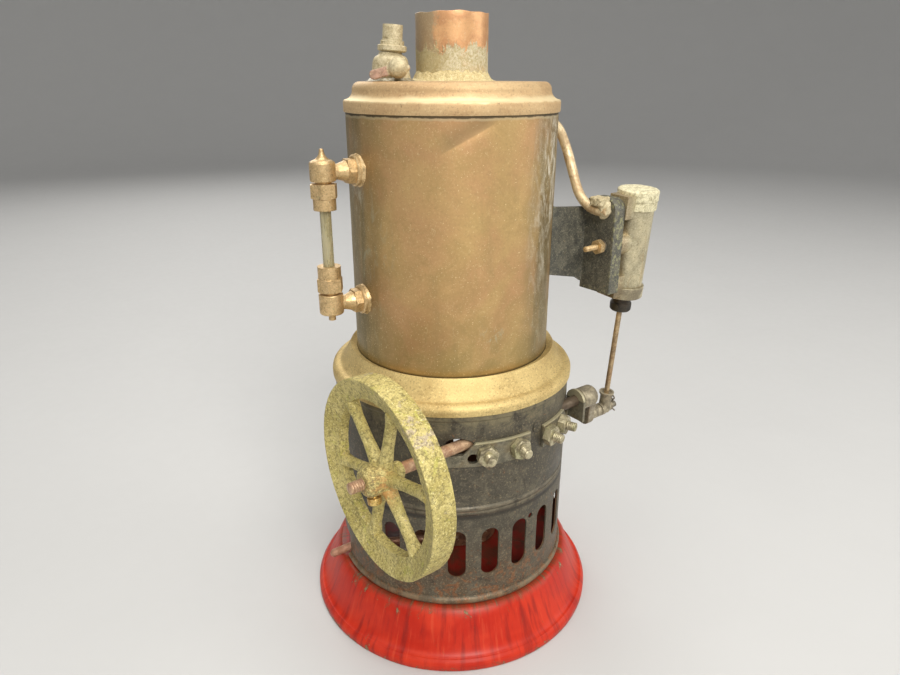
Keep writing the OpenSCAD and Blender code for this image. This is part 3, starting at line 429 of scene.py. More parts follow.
def stained_steel(name, base, second, stain, metallic=0.7, bevel=0.0, spots=(0.5, 0.44, 0.33),
                  amount=0.6, shade_from=None, highlight_z=None):
    """Plated or bare steel with brown staining and pale specks.

    It has painted shade beyond x = shade_from, and a painted highlight along its top edge at z =
    highlight_z.
    """
    m = Mat(name, metallic=metallic, bevel=bevel)
    mid = m.noise(3.2, 4, 0.65, 0.5)
    wide = m.noise(8, 3, 0.6, 0.4)
    fine = m.noise(0.6, 3, 0.7)
    m.c = m.mix(m.span(mid, 0.38, 0.64), base, second)
    m.coat(m.span(wide, 0.48, 0.66, 0, amount), stain)
    m.coat(m.span(fine, 0.58, 0.72, 0, 0.6), spots)
    m.coat(m.span(fine, 0.4, 0.28, 0, 0.5), (0.035, 0.028, 0.02))
    if shade_from is not None:
        # Painted shade beyond x = shade_from
        m.coat(m.span(m.xyz()[0], shade_from, shade_from + 6, 0, 0.85), (0.06, 0.05, 0.035))
    if highlight_z is not None:
        # Painted highlight along the top edge
        m.coat(m.span(m.xyz()[2], highlight_z - 0.9, highlight_z - 0.3, 0, 0.7), spots)
    return m.finish(m.span(mid, 0.3, 0.7, 0.38, 0.6), [(mid, 0.16, 0.35), (fine, 0.05, 0.5)])


def cylinder_metal():
    m = Mat("tarnished_cylinder_plating", metallic=0.72, bevel=0.25)
    z = m.xyz()[2]
    wide = m.noise(9, 4, 0.62, 0.5)
    fine = m.noise(0.65, 3, 0.7)
    runs = m.noise(3, 4, 0.6, 0.2, m.stretched(1, 1, 0.25))
    m.c = m.mix(m.span(wide, 0.38, 0.64), (0.62, 0.55, 0.36), (0.44, 0.39, 0.26))
    m.coat(m.span(runs, 0.54, 0.7, 0, 0.55), (0.46, 0.34, 0.18))
    # Painted shade on the left side of the cylinder
    m.coat(m.span(m.along(PHOTO_LEFT), -74.5, -71.5, 0, 0.5), (0.3, 0.2, 0.1))
    m.speckle(fine, (0.13, 0.105, 0.065), (0.8, 0.75, 0.55), 0.5)
    back = m.span(z, 151, 146, 0, 0.6)
    m.coat(m.both(back, m.span(wide, 0.4, 0.6)), (0.14, 0.11, 0.075))
    return m.finish(m.span(wide, 0.3, 0.7, 0.36, 0.5), [(wide, 0.2, 0.15), (fine, 0.04, 0.35)])


def cylinder_cap_metal():
    m = Mat("limed_cylinder_cap", metallic=0.25)
    crust = m.noise(1.7, 5, 0.72, 0.6)
    fine = m.noise(0.55, 3, 0.75)
    m.c = m.mix(m.span(crust, 0.4, 0.6), (0.5, 0.45, 0.28), (0.78, 0.73, 0.5))
    m.speckle(fine, (0.24, 0.2, 0.11), (0.9, 0.87, 0.66), 0.6)
    m.coat(m.span(crust, 0.4, 0.3, 0, 0.8), (0.22, 0.18, 0.1))
    return m.finish(m.span(fine, 0.3, 0.7, 0.55, 0.78), [(crust, 0.45, 0.7), (fine, 0.1, 0.6)])


def bracket_black():
    m = Mat("chipped_bracket_black", metallic=0.25, bevel=0.45)
    _, y, z = m.xyz()
    mid = m.noise(3.4, 5, 0.7, 0.6)
    fine = m.noise(0.6, 3, 0.75)
    m.c = m.mix(m.span(mid, 0.38, 0.64), (0.075, 0.074, 0.062), (0.14, 0.132, 0.1))
    m.coat(m.span(m.noise(2.2, 5, 0.72), 0.62, 0.72, 0, 0.75), (0.3, 0.23, 0.11))
    m.speckle(fine, (0.03, 0.03, 0.025), (0.42, 0.39, 0.27), 0.5)
    edge = m.most(m.span(z, 183.4, 184.6), m.span(z, 150.5, 148.6), m.span(y, -46.4, -47.2))
    chips = m.span(m.noise(1.6, 4, 0.7), 0.5, 0.62)
    m.coat(m.both(edge, chips), (0.34, 0.33, 0.17), 0.7)
    return m.finish(m.span(mid, 0.3, 0.7, 0.4, 0.62), [(mid, 0.2, 0.4), (fine, 0.06, 0.5)])


def fitting_brass(name="aged_fitting_brass", bevel=0.22, base=(0.7, 0.5, 0.26), deep=(0.5, 0.35, 0.17),
                  metallic=0.75, rough=(0.36, 0.54), pale=(0.86, 0.72, 0.44)):
    m = Mat(name, metallic=metallic, bevel=bevel)
    mid = m.noise(3.4, 4, 0.65, 0.5)
    fine = m.noise(0.6, 3, 0.7)
    m.c = m.mix(m.span(mid, 0.38, 0.66), base, deep)
    m.speckle(fine, tuple(0.4 * c for c in deep), pale, 0.55)
    m.coat(m.span(m.noise(1.4, 4, 0.7), 0.38, 0.29, 0, 0.7), (0.1, 0.08, 0.045))
    m.coat(m.span(m.noise(2.3, 4, 0.7), 0.62, 0.72, 0, 0.4), (0.44, 0.44, 0.26))
    return m.finish(m.span(mid, 0.3, 0.7, *rough), [(mid, 0.16, 0.25), (fine, 0.06, 0.45)])


def pipe_copper(name="tarnished_copper", bevel=0.0, base=(0.72, 0.58, 0.36), deep=(0.48, 0.34, 0.19)):
    m = Mat(name, metallic=0.5, bevel=bevel)
    mid = m.noise(4.5, 4, 0.62, 0.5)
    fine = m.noise(0.7, 3, 0.7)
    m.c = m.mix(m.span(mid, 0.38, 0.64), base, deep)
    m.coat(m.span(m.noise(2.4, 4, 0.7), 0.58, 0.68, 0, 0.6), (0.86, 0.76, 0.52))
    m.coat(m.span(fine, 0.4, 0.28, 0, 0.6), tuple(0.3 * c for c in deep))
    return m.finish(m.span(mid, 0.3, 0.7, 0.42, 0.62), [(mid, 0.14, 0.3), (fine, 0.05, 0.45)])


def lever_copper():
    """Pink lever with a dusty ball and plug."""
    m = Mat("dusty_lever_copper", metallic=0.3)
    fine = m.noise(0.6, 3, 0.72)
    mid = m.noise(2.6, 4, 0.65, 0.4)
    ball = m.near(tuple(AT_PLUG.translation), 4.6, 0.8)
    m.c = m.mix(m.span(mid, 0.4, 0.62), (0.46, 0.28, 0.2), (0.34, 0.21, 0.145))
    m.coat(ball, m.mix(m.span(mid, 0.4, 0.6), (0.6, 0.53, 0.33), (0.44, 0.38, 0.23)), 0.9)
    m.speckle(fine, (0.2, 0.15, 0.09), (0.8, 0.74, 0.52), 0.5)
    return m.finish(m.span(fine, 0.3, 0.7, 0.55, 0.8), [(mid, 0.2, 0.4), (fine, 0.1, 0.6)])


def solder():
    m = Mat("dull_solder", metallic=0.7)
    lumps = m.noise(1.8, 4, 0.6, 0.5)
    fine = m.noise(0.5, 3, 0.7)
    m.c = m.mix(m.span(lumps, 0.38, 0.62), (0.5, 0.47, 0.38), (0.36, 0.31, 0.2))
    m.coat(m.span(fine, 0.6, 0.74, 0, 0.5), (0.7, 0.67, 0.55))
    return m.finish(m.span(lumps, 0.3, 0.7, 0.35, 0.6), [(lumps, 0.3, 0.6), (fine, 0.05, 0.4)])


def crusted_lime():
    m = Mat("yellow_lime_crust", metallic=0.05)
    lumps = m.noise(1.3, 5, 0.72, 0.6)
    fine = m.noise(0.5, 3, 0.75)
    m.c = m.mix(m.span(lumps, 0.38, 0.62), (0.66, 0.56, 0.3), (0.48, 0.38, 0.18))
    m.speckle(fine, (0.2, 0.15, 0.07), (0.86, 0.8, 0.56), 0.6)
    return m.finish(m.span(lumps, 0.3, 0.7, 0.65, 0.85), [(lumps, 0.4, 0.8), (fine, 0.1, 0.6)])


def cloudy_glass():
    m = Mat("clouded_gauge_glass")
    haze = m.noise(1.6, 4, 0.65, 0.3, m.stretched(1, 1, 0.08))
    fine = m.noise(0.6, 3)
    m.c = m.mix(m.span(haze, 0.35, 0.65), (0.5, 0.43, 0.22), (0.72, 0.66, 0.44))
    rough = m.span(haze, 0.3, 0.7, 0.12, 0.42)
    return m.finish(rough, [(fine, 0.03, 0.2)], Transmission_Weight=0.62, IOR=1.48)


def cord(name, base, deep):
    m = Mat(name)
    twist = m.new("TexWave", {"Vector": m.co, "Scale": 0.9, "Distortion": 1.5}, wave_type="BANDS",
                  bands_direction="DIAGONAL")
    m.c = m.mix(m.span(m.noise(0.8, 4, 0.7), 0.35, 0.65), base, deep)
    return m.finish(0.9, [(twist.outputs["Fac"], 0.15, 0.7)], Sheen_Weight=0.2)


MATS = {
    "boiler": boiler_brass(),
    "cap": spun_brass("spun_cap_brass", (0.6, 0.425, 0.225), (0.5, 0.33, 0.165), (0.78, 0.66, 0.4),
                      0.4, 0.45, edge_z=225.4, dusty=0.75),
    "collar": spun_brass("spun_collar_brass", (0.64, 0.49, 0.215), (0.5, 0.36, 0.145), (0.88, 0.75, 0.38),
                         0.6, 0.62),
    "flue": flue_copper(),
    "red": red_paint(),
    "firebox": firebox_black(),
    "wheel": wheel_paint(),
    # The strip has a painted highlight along its top edge at z = 101.4
    "strip": stained_steel("worn_strip_plating", (0.22, 0.2, 0.14), (0.12, 0.11, 0.08), (0.22, 0.165, 0.085),
                           metallic=0.5, bevel=0.3, spots=(0.52, 0.47, 0.3), highlight_z=101.4),
    "nut": stained_steel("worn_nut_plating", (0.56, 0.5, 0.33), (0.22, 0.19, 0.125), (0.36, 0.36, 0.18),
                         spots=(0.86, 0.8, 0.56)),
    # The shaft has painted shade beyond x = 10
    "shaft": stained_steel("rusty_shaft_steel", (0.56, 0.38, 0.23), (0.34, 0.2, 0.12), (0.4, 0.2, 0.1),
                           metallic=0.5, spots=(0.74, 0.6, 0.42), shade_from=10),
    "crank": stained_steel("dull_crank_steel", (0.4, 0.345, 0.235), (0.21, 0.18, 0.125), (0.16, 0.12, 0.08),
                           metallic=0.55, spots=(0.56, 0.5, 0.36), amount=0.45),
    "rod": stained_steel("brown_rod_steel", (0.5, 0.37, 0.21), (0.26, 0.18, 0.1), (0.34, 0.19, 0.09),
                         metallic=0.6, spots=(0.72, 0.64, 0.44)),
    "steel": stained_steel("dull_steel", (0.24, 0.215, 0.16), (0.15, 0.135, 0.105), (0.17, 0.115, 0.065)),
    "gland": stained_steel("dark_gland", (0.04, 0.034, 0.024), (0.022, 0.019, 0.014), (0.06, 0.04, 0.024),
                           metallic=0.4, spots=(0.14, 0.12, 0.085)),
    "cylinder": cylinder_metal(),
    "cylinder_cap": cylinder_cap_metal(),
    "bracket": bracket_black(),
    "fitting": fitting_brass(),
    "whistle": fitting_brass("dusty_whistle_brass", 0.2, (0.58, 0.5, 0.32), (0.4, 0.33, 0.19), 0.25,
                             (0.6, 0.8), (0.8, 0.74, 0.52)),
    "gold": fitting_brass("rusty_gold_screw", 0.0, (0.72, 0.5, 0.16), (0.44, 0.25, 0.07)),
    "lever": lever_copper(),
    "pipe": pipe_copper(),
    "burner": pipe_copper("sooty_burner_copper", 0.25, (0.34, 0.17, 0.09), (0.16, 0.085, 0.05)),
    "handle": pipe_copper("handled_copper", 0.0, (0.5, 0.27, 0.18), (0.36, 0.17, 0.1)),
    "solder": solder(),
    "lime": crusted_lime(),
    "glass": cloudy_glass(),
    "packing": cord("greased_packing", (0.03, 0.026, 0.02), (0.06, 0.05, 0.035)),
    "wick": cord("singed_wick_cord", (0.4, 0.33, 0.22), (0.12, 0.09, 0.06)),
}
CAD_MATS = {
    "firebox": "firebox_shell firebox_rivet",
    "boiler": "boiler_bottom_plate",
    "whistle": "whistle_collar whistle_bell whistle_plug_nut",
    "fitting": "gauge_upper_fitting gauge_lower_fitting gauge_upper_nut gauge_lower_nut "
               "gauge_drain_screw pivot_nut",
    "glass": "gauge_glass",
    "packing": "gauge_packing gland_packing piston_packing",
    "bracket": "cylinder_bracket",
    "strip": "flywheel_bearing_bracket crank_bearing_bracket",
    "cylinder": "cylinder_barrel",
    "cap": "piston",
    "burner": "burner_tank wick_tubes filler_cap",
    "steel": "crank_pin",
}
for key, names in CAD_MATS.items():
    for name in names.split():
        NODES[name].data.materials.clear()
        NODES[name].data.materials.append(MATS[key])


# ---------- mesh making, mm
def make_mesh(name, verts, faces, material):
    mesh = bpy.data.meshes.new(name)
    mesh.from_pydata((np.asarray(verts, float) * MM).tolist(), [], faces)
    mesh.validate()
    mesh.polygons.foreach_set("use_smooth", [True] * len(mesh.polygons))
    mesh.materials.append(material)
    return mesh


def build(name, verts, faces, mat, body, slot, replaces="", sharp=32, place=None):
    """A finished piece that rides a body; sharp is the angle in degrees from which an edge is hard."""
    if place is not None:
        verts = moved((verts, faces), place)[0]
    mesh = make_mesh(name, verts, faces, MATS[mat])
    mesh.set_sharp_from_angle(angle=radians(sharp))
    ob = add_object(name, mesh)
    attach(ob, body)
    if replaces:
        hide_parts(replaces)


def moved(part, place):
    m = np.array(place)
    return np.asarray(part[0], float) @ m[:3, :3].T + m[:3, 3], part[1]


def join(*parts):
    verts, faces, base = [], [], 0
    for v, f in parts:
        verts.append(np.asarray(v, float))
        faces += [tuple(i + base for i in face) for face in f]
        base += len(v)
    return np.vstack(verts), faces


def s_curve(p, q, n=24):
    return [(p[0] + (q[0] - p[0]) * k / n, p[1] + (q[1] - p[1]) * (1 - cos(pi * k / n)) / 2)
            for k in range(n + 1)]


def arc(cx, cy, r, a0, a1, n=8):
    return [(cx + r * cos(radians(a0 + (a1 - a0) * k / n)),
             cy + r * sin(radians(a0 + (a1 - a0) * k / n))) for k in range(n + 1)]


def fillet(points, radius=0.3, steps=4, closed=False):
    """Rounds the corners of a 2D line."""
    n, out = len(points), []
    for i, p in enumerate(Vector(p) for p in points):
        if not closed and i in (0, n - 1):
            out.append(tuple(p))
            continue
        a, b = Vector(points[i - 1]) - p, Vector(points[(i + 1) % n]) - p
        longest = 0.48 * min(a.length, b.length)
        a.normalize()
        b.normalize()
        angle = a.angle(b)
        if pi - angle < radians(8):
            out.append(tuple(p))
            continue
        back = min(radius / tan(angle / 2), longest)
        start, end = p + a * back, p + b * back
        for k in range(steps + 1):
            t = k / steps
            out.append(tuple((1 - t) ** 2 * start + 2 * t * (1 - t) * p + t * t * end))
    return out


def densify(points, step):
    """Adds points so that none is much more than a step from the next."""
    out = [points[0]]
    for a, b in zip(points, points[1:]):
        n = max(1, int(hypot(b[0] - a[0], b[1] - a[1]) / step))
        out += [(a[0] + (b[0] - a[0]) * k / n, a[1] + (b[1] - a[1]) * k / n) for k in range(1, n + 1)]
    return out


def circle(sides):
    return [2 * pi * k / sides for k in range(sides)]


def lathe(points, sides, closed=False, warp=None):
    """A turned shape about Z from (radius, height) points. warp(verts) may move them."""
    verts, faces, rows = [], [], []
    for r, z in points:
        new = [(r * cos(a), r * sin(a), z) for a in circle(sides)] if r > 0 else [(0, 0, z)]
        rows.append(range(len(verts), len(verts) + len(new)))
        verts += new
    for p, q in zip(rows, rows[1:] + rows[:1] if closed else rows[1:]):
        for k in range(sides):
            k2 = k + 1
            corners = p[k % len(p)], p[k2 % len(p)], q[k2 % len(q)], q[k % len(q)]
            face = tuple(dict.fromkeys(corners))
            if len(face) > 2:
                faces.append(face)
    verts = np.array(verts, float)
    return (warp(verts) if warp else verts), faces


def ring(outline, step, sides, warp):
    """A closed outline turned about Z, cut into short steps so that the warp shows."""
    return lathe(densify(outline + [outline[0]], step)[:-1], sides, True, warp)


def turned(outline, sides, place, radius=0.3):
    """A turned shape with rounded corners, put in its place."""
    return moved(lathe(fillet(outline, radius), sides), place)


def quads(rings, sides, closed=False):
    """Faces between rings of points that are numbered ring by ring."""
    faces = []
    for i in range(rings if closed else rings - 1):
        p, q = i * sides, (i + 1) % rings * sides
        for k in range(sides):
            k2 = (k + 1) % sides
            faces.append((p + k, p + k2, q + k2, q + k))
    return faces


def solid(verts, sides):
    """Rings of points, with a flat face on the first and the last."""
    n = len(verts)
    ends = [tuple(reversed(range(sides))), tuple(range(n - sides, n))]
    return np.array(verts), quads(n // sides, sides) + ends


def bumpy(amount, size, seed=0.0):
    """A warp that pushes points along their direction from the Z axis by smooth noise."""
    def warp(v):
        out = v.copy()
        for i, p in enumerate(v):
            d = noise.noise(Vector((p[0] / size + seed, p[1] / size, p[2] / size)))
            r = hypot(p[0], p[1])
            if r > 0.2:
                out[i, :2] += p[:2] / r * d * amount
            out[i, 2] += amount * 0.5 * noise.noise(Vector((p[0] / size, p[1] / size + 7 + seed, 3.0)))
        return out
    return warp


def hex_nut(flats, height, hole, sides=72):
    """A nut with its corners turned down to a cone at its outer face."""
    rings = [[] for _ in range(6)]
    slope = tan(radians(28))
    for a in circle(sides):
        edge = flats / 2 / cos((a + pi / 6) % (pi / 3) - pi / 6)
        drop = (edge - flats / 2) * slope
        section = ((hole, 0.0), (edge - 0.1, 0.0), (edge, 0.12), (edge, height - drop - 0.06),
                   (flats / 2 - 0.1, height), (hole, height))
        for points, (r, z) in zip(rings, section):
            points.append((r * cos(a), r * sin(a), z))
    return np.array(sum(rings, [])), quads(6, sides, True)


def threaded(r, z0, z1, pitch, depth, dome, sides=36):
    """A threaded rod from z0 to z1 with a domed end at z1."""
    rows_per_pitch = 8
    n = max(2, int((z1 - dome - z0) / pitch * rows_per_pitch))
    rows = []
    for i in range(n + 1):
        z = z0 + (z1 - dome - z0) * i / n
        fade = min(1.0, (n - i) / (rows_per_pitch * 0.8))
        turns = [abs((z / pitch - k / sides) % 1.0 - 0.5) for k in range(sides)]
        rows.append(([r - depth * fade * (1 - 2 * t) - (1 - fade) * 0.1 for t in turns], z))
    rows += [([r * f] * sides, z1 - dome * f ** 3) for f in (0.9, 0.6, 0.25)]
    return solid([(q * cos(a), q * sin(a), z) for row, z in rows
                  for q, a in zip(row, circle(sides))], sides)


def smooth_path(points, steps=10):
    """A Catmull-Rom curve through the points."""
    pts = [Vector(p) for p in points]
    out = []
    for i in range(len(pts) - 1):
        p0, p1, p2, p3 = pts[max(i - 1, 0)], pts[i], pts[i + 1], pts[min(i + 2, len(pts) - 1)]
        for k in range(steps):
            t = k / steps
            out.append(0.5 * (2 * p1 + (p2 - p0) * t + (2 * p0 - 5 * p1 + 4 * p2 - p3) * t * t
                              + (3 * p1 - p0 - 3 * p2 + p3) * t ** 3))
    return out + [pts[-1]]


def tube(path, radius, sides, round_ends=False):
    """A round bar along a path; radius is a number, or a function of the way along, 0 to 1."""
    pts = [Vector(p) for p in path]
    last = len(pts) - 1
    heads = [(pts[min(i + 1, last)] - pts[max(i - 1, 0)]).normalized() for i in range(last + 1)]
    side = heads[0].orthogonal().normalized()
    rows = []
    for i, (p, d) in enumerate(zip(pts, heads)):
        side = (side - d * side.dot(d)).normalized()
        rows.append((p, side.copy(), d.cross(side), radius(i / last) if callable(radius) else radius))
    if round_ends:
        for end, sign in ((0, -1), (-1, 1)):
            p, u, v, r = rows[end]
            d = heads[end] * sign
            caps = [(p + d * r * sin(a), u, v, r * cos(a)) for a in (0.5, 0.95, 1.3, 1.5)]
            rows = rows + caps if sign > 0 else caps[::-1] + rows
    return solid([tuple(p + u * (r * cos(a)) + v * (r * sin(a))) for p, u, v, r in rows
                  for a in circle(sides)], sides)


def block(lo, hi, bevel):
    """A box with rounded edges."""
    bm = bmesh.new()
    bmesh.ops.create_cube(bm, size=1.0)
    lo, hi = Vector(lo), Vector(hi)
    for v in bm.verts:
        v.co = [(v.co[i] + 0.5) * (hi[i] - lo[i]) + lo[i] for i in range(3)]
    bmesh.ops.bevel(bm, geom=list(bm.edges), offset=bevel, segments=2, profile=0.5, affect="EDGES")
    part = np.array([v.co[:] for v in bm.verts]), [tuple(v.index for v in f.verts) for f in bm.faces]
    bm.free()
    return part


def slab(outline, half):
    """A flat shape drawn anticlockwise in X and Z, half to each side of Y = 0."""
    n = len(outline)
    verts = [(x, side, z) for side in (-half, half) for x, z in outline]
    faces = [tuple(range(n)), tuple(reversed(range(n, 2 * n)))]
    return np.array(verts), faces + [(k, k + n, (k + 1) % n + n, (k + 1) % n) for k in range(n)]


def fuse(part, voxel, smooth, rough, size):
    """One closed skin round overlapping shapes, with soft inner corners, as a casting has."""
    mesh = bpy.data.meshes.new("fuse")
    mesh.from_pydata(part[0].tolist(), [], part[1])
    ob = add_object("fuse", mesh)
    remesh = ob.modifiers.new("skin", "REMESH")
    remesh.mode, remesh.voxel_size = "VOXEL", voxel
    relax = ob.modifiers.new("relax", "SMOOTH")
    relax.factor, relax.iterations = 0.5, smooth
    deps = bpy.context.evaluated_depsgraph_get()
    done = bpy.data.meshes.new_from_object(ob.evaluated_get(deps))
    verts, normals = np.empty((2, len(done.vertices) * 3))
    done.vertices.foreach_get("co", verts)
    done.vertices.foreach_get("normal", normals)
    verts = verts.reshape(-1, 3)
    push = np.array([noise.fractal(Vector(v / size), 1.0, 2.0, 3) for v in verts])
    verts = verts + normals.reshape(-1, 3) * (push * rough)[:, None]
    faces = [tuple(p.vertices) for p in done.polygons]
    bpy.data.objects.remove(ob)
    bpy.data.meshes.remove(mesh)
    bpy.data.meshes.remove(done)
    return verts, faces


# ---------- base and boiler
skirt = s_curve((64.7, 5.2), (53.6, 22.9))
under = [(r - 0.75, z - 0.75) for r, z in skirt]
dish = ([(65.3, 0.0), (65.95, 0.25), (66.18, 0.9), (66.2, 2.6), (65.9, 3.6), (65.3, 4.4)] + skirt
        + [(40, 22.9), (20, 22.9), (0, 22.9), (0, 22.15), (25, 22.15)] + under[::-1]
        + [(64.5, 3.6), (65.1, 2.6), (65.1, 0.3)])
build("base_dish", *ring(dish, 1.6, 200, bumpy(0.12, 16.0)), "red", "engine", "red_paint", "base")

# Shallow dents: azimuth, height, size and depth
DENTS = ((-70, 170, 12, 0.12), (-150, 150, 14, 0.12), (60, 180, 15, 0.2), (110, 140, 12, 0.18))


def dented(v):
    """Hand marks on the boiler: a slanting dent under the cap, shallow ones and slow ripples."""
    out = v.copy()
    for i, p in enumerate(v):
        r = hypot(p[0], p[1])
        az = degrees(atan2(p[1], p[0]))
        d = 0.1 * noise.noise(Vector((p[0] / 17, p[1] / 17, p[2] / 22)))
        d += 0.03 * noise.noise(Vector((p[0] / 5, p[1] / 5, p[2] / 6 + 9)))
        u = radians(az - DENT_AZ) * BOILER_R
        w = p[2] - DENT_Z
        along, across = u * CREASE_COS + w * CREASE_SIN, w * CREASE_COS - u * CREASE_SIN
        if abs(u) < 40:
            edge = 1 / (1 + exp(-1.5 * across))
            d -= 0.34 * exp(-(along / 9.5) ** 4) * edge * exp(-(max(across, 0) / 7.5) ** 2)
        for az0, z0, size, depth in DENTS:
            gap = hypot(radians((az - az0 + 180) % 360 - 180) * BOILER_R, p[2] - z0)
            d -= depth * exp(-(gap / size) ** 2)
        fade = min(1.0, max(0.0, (222.5 - p[2]) / 4)) * min(1.0, max(0.0, (p[2] - 124) / 6))
        out[i, :2] += p[:2] / r * d * fade
    return out


wall = [(40.6, 106), (BOILER_R, 106), (BOILER_R, 223.6), (40.6, 223.6)]
build("boiler_shell", *ring(wall, 1.1, 280, dented), "boiler", "engine", "boiler_brass", "boiler_barrel",
      sharp=40)

cove = arc(42.1, 228.4, 3.6, 258, 184, 9)
crown = arc(35.6, 228.4, 2.9, 0, 86, 8)
cap = ([(41.55, 220.6), (42.0, 220.5), (42.15, 220.8), (42.15, 223.9), (42.0, 224.5), (41.75, 224.8)]
       + cove[1:] + crown + [(25, 231.45), (13.85, 231.5), (13.85, 230.9), (35.4, 230.8)]
       + [(r - 0.55, z - 0.55) for r, z in crown[::-1]] + [(37.9, 227), (40.5, 224.4), (41.55, 223.7)])
build("boiler_cap", *ring(cap, 1.3, 240, bumpy(0.1, 9.0, 4.0)), "cap", "engine", "cap_brass",
      "boiler_top_cap")

slope = s_curve((50, 117.4), (BOILER_R, 128))[:17]
collar = ([(52.75, 112.9), (52.8, 114.5)] + arc(49.9, 114.5, 2.9, 8, 88, 9) + slope[1:]
          + [(41.62, 124.15), (41.62, 123.1)] + [(r - 0.3, z - 1.0) for r, z in slope[:0:-1]]
          + arc(49.9, 114.5, 2.2, 88, 0, 9) + [(52.1, 112.95)])
build("boiler_collar_ring", *ring(collar, 1.2, 240, bumpy(0.13, 11.0, 8.0)), "collar", "engine",
      "cap_brass", "boiler_collar")


def chimney_warp(v):
    """Slow ripples, and a worn, uneven top edge."""
    out = bumpy(0.1, 6.0, 2.0)(v)
    top = np.clip((v[:, 2] - 250) / 5.1, 0, 1)
    a = np.arctan2(v[:, 1], v[:, 0])
    out[:, 2] -= top * (0.25 + 0.25 * np.sin(3 * a + 1) * np.sin(7 * a))
    return out


flue = fillet([(13.12, 106), (FLUE_R, 106), (FLUE_R, 255.1), (13.12, 255.1)], 0.25, 3, True)
build("chimney_tube", *ring(flue, 2.0, 96, chimney_warp), "flue", "engine", "flue_copper", "chimney_flue")
crust = [(13.6, 231.2), (17.4, 231.4), (15.9, 231.7), (14.9, 232.4), (14.2, 233.8), (13.6, 235.2)]
build("chimney_solder", *lathe(crust, 120, True, bumpy(0.6, 2.2, 5.0)), "lime", "engine", "cap_brass")

# ---------- whistle
body = [(0, 0.0), (7.55, 0.0), (7.6, 0.5), (7.35, 1.2), (6.95, 3.4), (6.45, 6.6), (6.2, 7.5), (5.7, 8.2),
        (4.7, 8.75), (4.2, 9.1), (4.15, 9.9), (0, 9.9)]
build("whistle_valve_body", *lathe(densify(fillet(body, 0.35), 0.7), 72, False, bumpy(0.16, 2.4)),
      "whistle", "engine", "fitting_brass", "whistle_body", place=AT_WHISTLE)
reach, dip = hypot(8.8, 2.3), degrees(atan2(2.3, 8.8))
ball = lathe([(0, -3.55)] + arc(0, 0, 3.55, -80, 80, 16) + [(0, 3.55)], 40)
stem = turned([(0, 0), (1.5, 0), (1.5, 19.6), (0, 19.6)], 28, turn(-90, "X"), 0.2)
peg = turned([(0, 2), (0.95, 2), (0.95, 4.1), (0, 4.1)], 24, ALONG_X)
bar = moved(block((-reach, -0.7, -1.6), (0.5, 0.7, 1.6), 0.3), turn(-dip, "Y"))
eye = turned([(0, -0.7), (1.6, -0.7), (1.6, 0.7), (0, 0.7)], 32,
             turn(-dip, "Y") @ shift(-reach, 0, 0) @ turn(90, "X"))
build("whistle_lever_piece", *fuse(join(ball, stem, peg, bar, eye), 0.28, 3, 0.14, 1.2), "lever",
      "whistle_valve", "pipe_copper", "whistle_lever", place=AT_PLUG)
seam = [(7.3, -0.1), (9.0, 0.0), (8.2, 0.35), (7.7, 0.9), (7.3, 1.0)]
build("whistle_foot_solder", *lathe(seam, 72, True, bumpy(0.35, 2.0, 3.0)), "solder", "engine",
      "fitting_brass", place=AT_WHISTLE)

# ---------- gauge extras
threads = []
for z0, z1 in ((194.4, 196.6), (155.6, 157.6)):
    threads.append(lathe([(2.9, z0), (3.35, z0 + 0.1), (3.35, z1 - 0.1), (2.9, z1)], 48, True))
build("gauge_seat_rings", *join(*threads), "packing", "engine", "packing", place=at_az(GAUGE_AZ, 55.2))
seam = [(5.5, 41.2), (6.5, 41.0), (6.1, 41.6), (5.7, 42.3), (5.5, 42.3)]
for z, tag in ((200.4, "upper"), (150.2, "lower")):
    build(f"gauge_{tag}_solder", *lathe(seam, 60, True, bumpy(0.3, 1.8, z)), "fitting", "engine",
          "fitting_brass", place=at_az(GAUGE_AZ, 0, z) @ ALONG_X)

# ---------- steam pipe and block
ROUTE = [(35, -16, 215), (39, -17.8, 215), (41.5, -19.4, 211.6), (43.6, -21.5, 204.9), (43.3, -25, 198.2),
         (43, -29.8, 189), (43, -34.5, 184.6), (43.2, -39.5, 182.7), (43.9, -45, 182.8)]
build("steam_pipe_tube",
      *tube(smooth_path(ROUTE, 8), lambda t: 2.0 + 0.05 * sin(19 * t) * sin(47 * t), 24),
      "pipe", "engine", "pipe_copper", "steam_pipe", sharp=60)
flange = [(2.2, 40.9), (3.6, 40.9), (3.6, 42.4), (3.2, 42.95), (2.2, 43.0)]
build("steam_pipe_collar", *lathe(flange, 48, True, bumpy(0.22, 1.6)), "solder", "engine", "fitting_brass",
      "steam_pipe_flange", place=at_az(PIPE_AZ, 0, 215) @ ALONG_X)
run = block((40.4, -44.6, 184.7), (46.0, -38.2, 188.2), 0.7)
blob = [(0, -4), (1.4, -3.4), (2.6, -1.2), (2.7, 1.4), (2.2, 3.0), (0, 3.4)]
blob = moved(lathe(blob, 24), shift(44.3, -43.2, 183.2))
build("steam_block_piece", *fuse(join(run, blob), 0.25, 4, 0.4, 1.5), "whistle", "engine",
      "fitting_brass", "steam_block")

# ---------- bolts and nuts
studs, nuts = [], []
for i, az in enumerate((-112.5, -97.3, -79.0, -67.3)):
    head = lathe(fillet([(0, 49.4), (2.7, 49.4), (2.7, 50.7), (2.0, 50.7)], 0.2), 36)
    thread = threaded(2.0, 50.6, 60.3, 0.79, 0.24, 0.5)
    studs.append(moved(join(thread, head), at_az(az, 0, BOLT_Z) @ ALONG_X))
    spin = turn(17 + 23 * i, "Z")
    nuts.append(moved(hex_nut(7.6, 3.2, 1.95), at_az(az, 53.06, BOLT_Z) @ ALONG_X @ spin))
build("bracket_studs", *join(*studs), "nut", "engine", "plated_steel", "bracket_bolts")
build("bracket_hex_nuts", *join(*nuts), "nut", "engine", "plated_steel", "bracket_nuts", sharp=24)

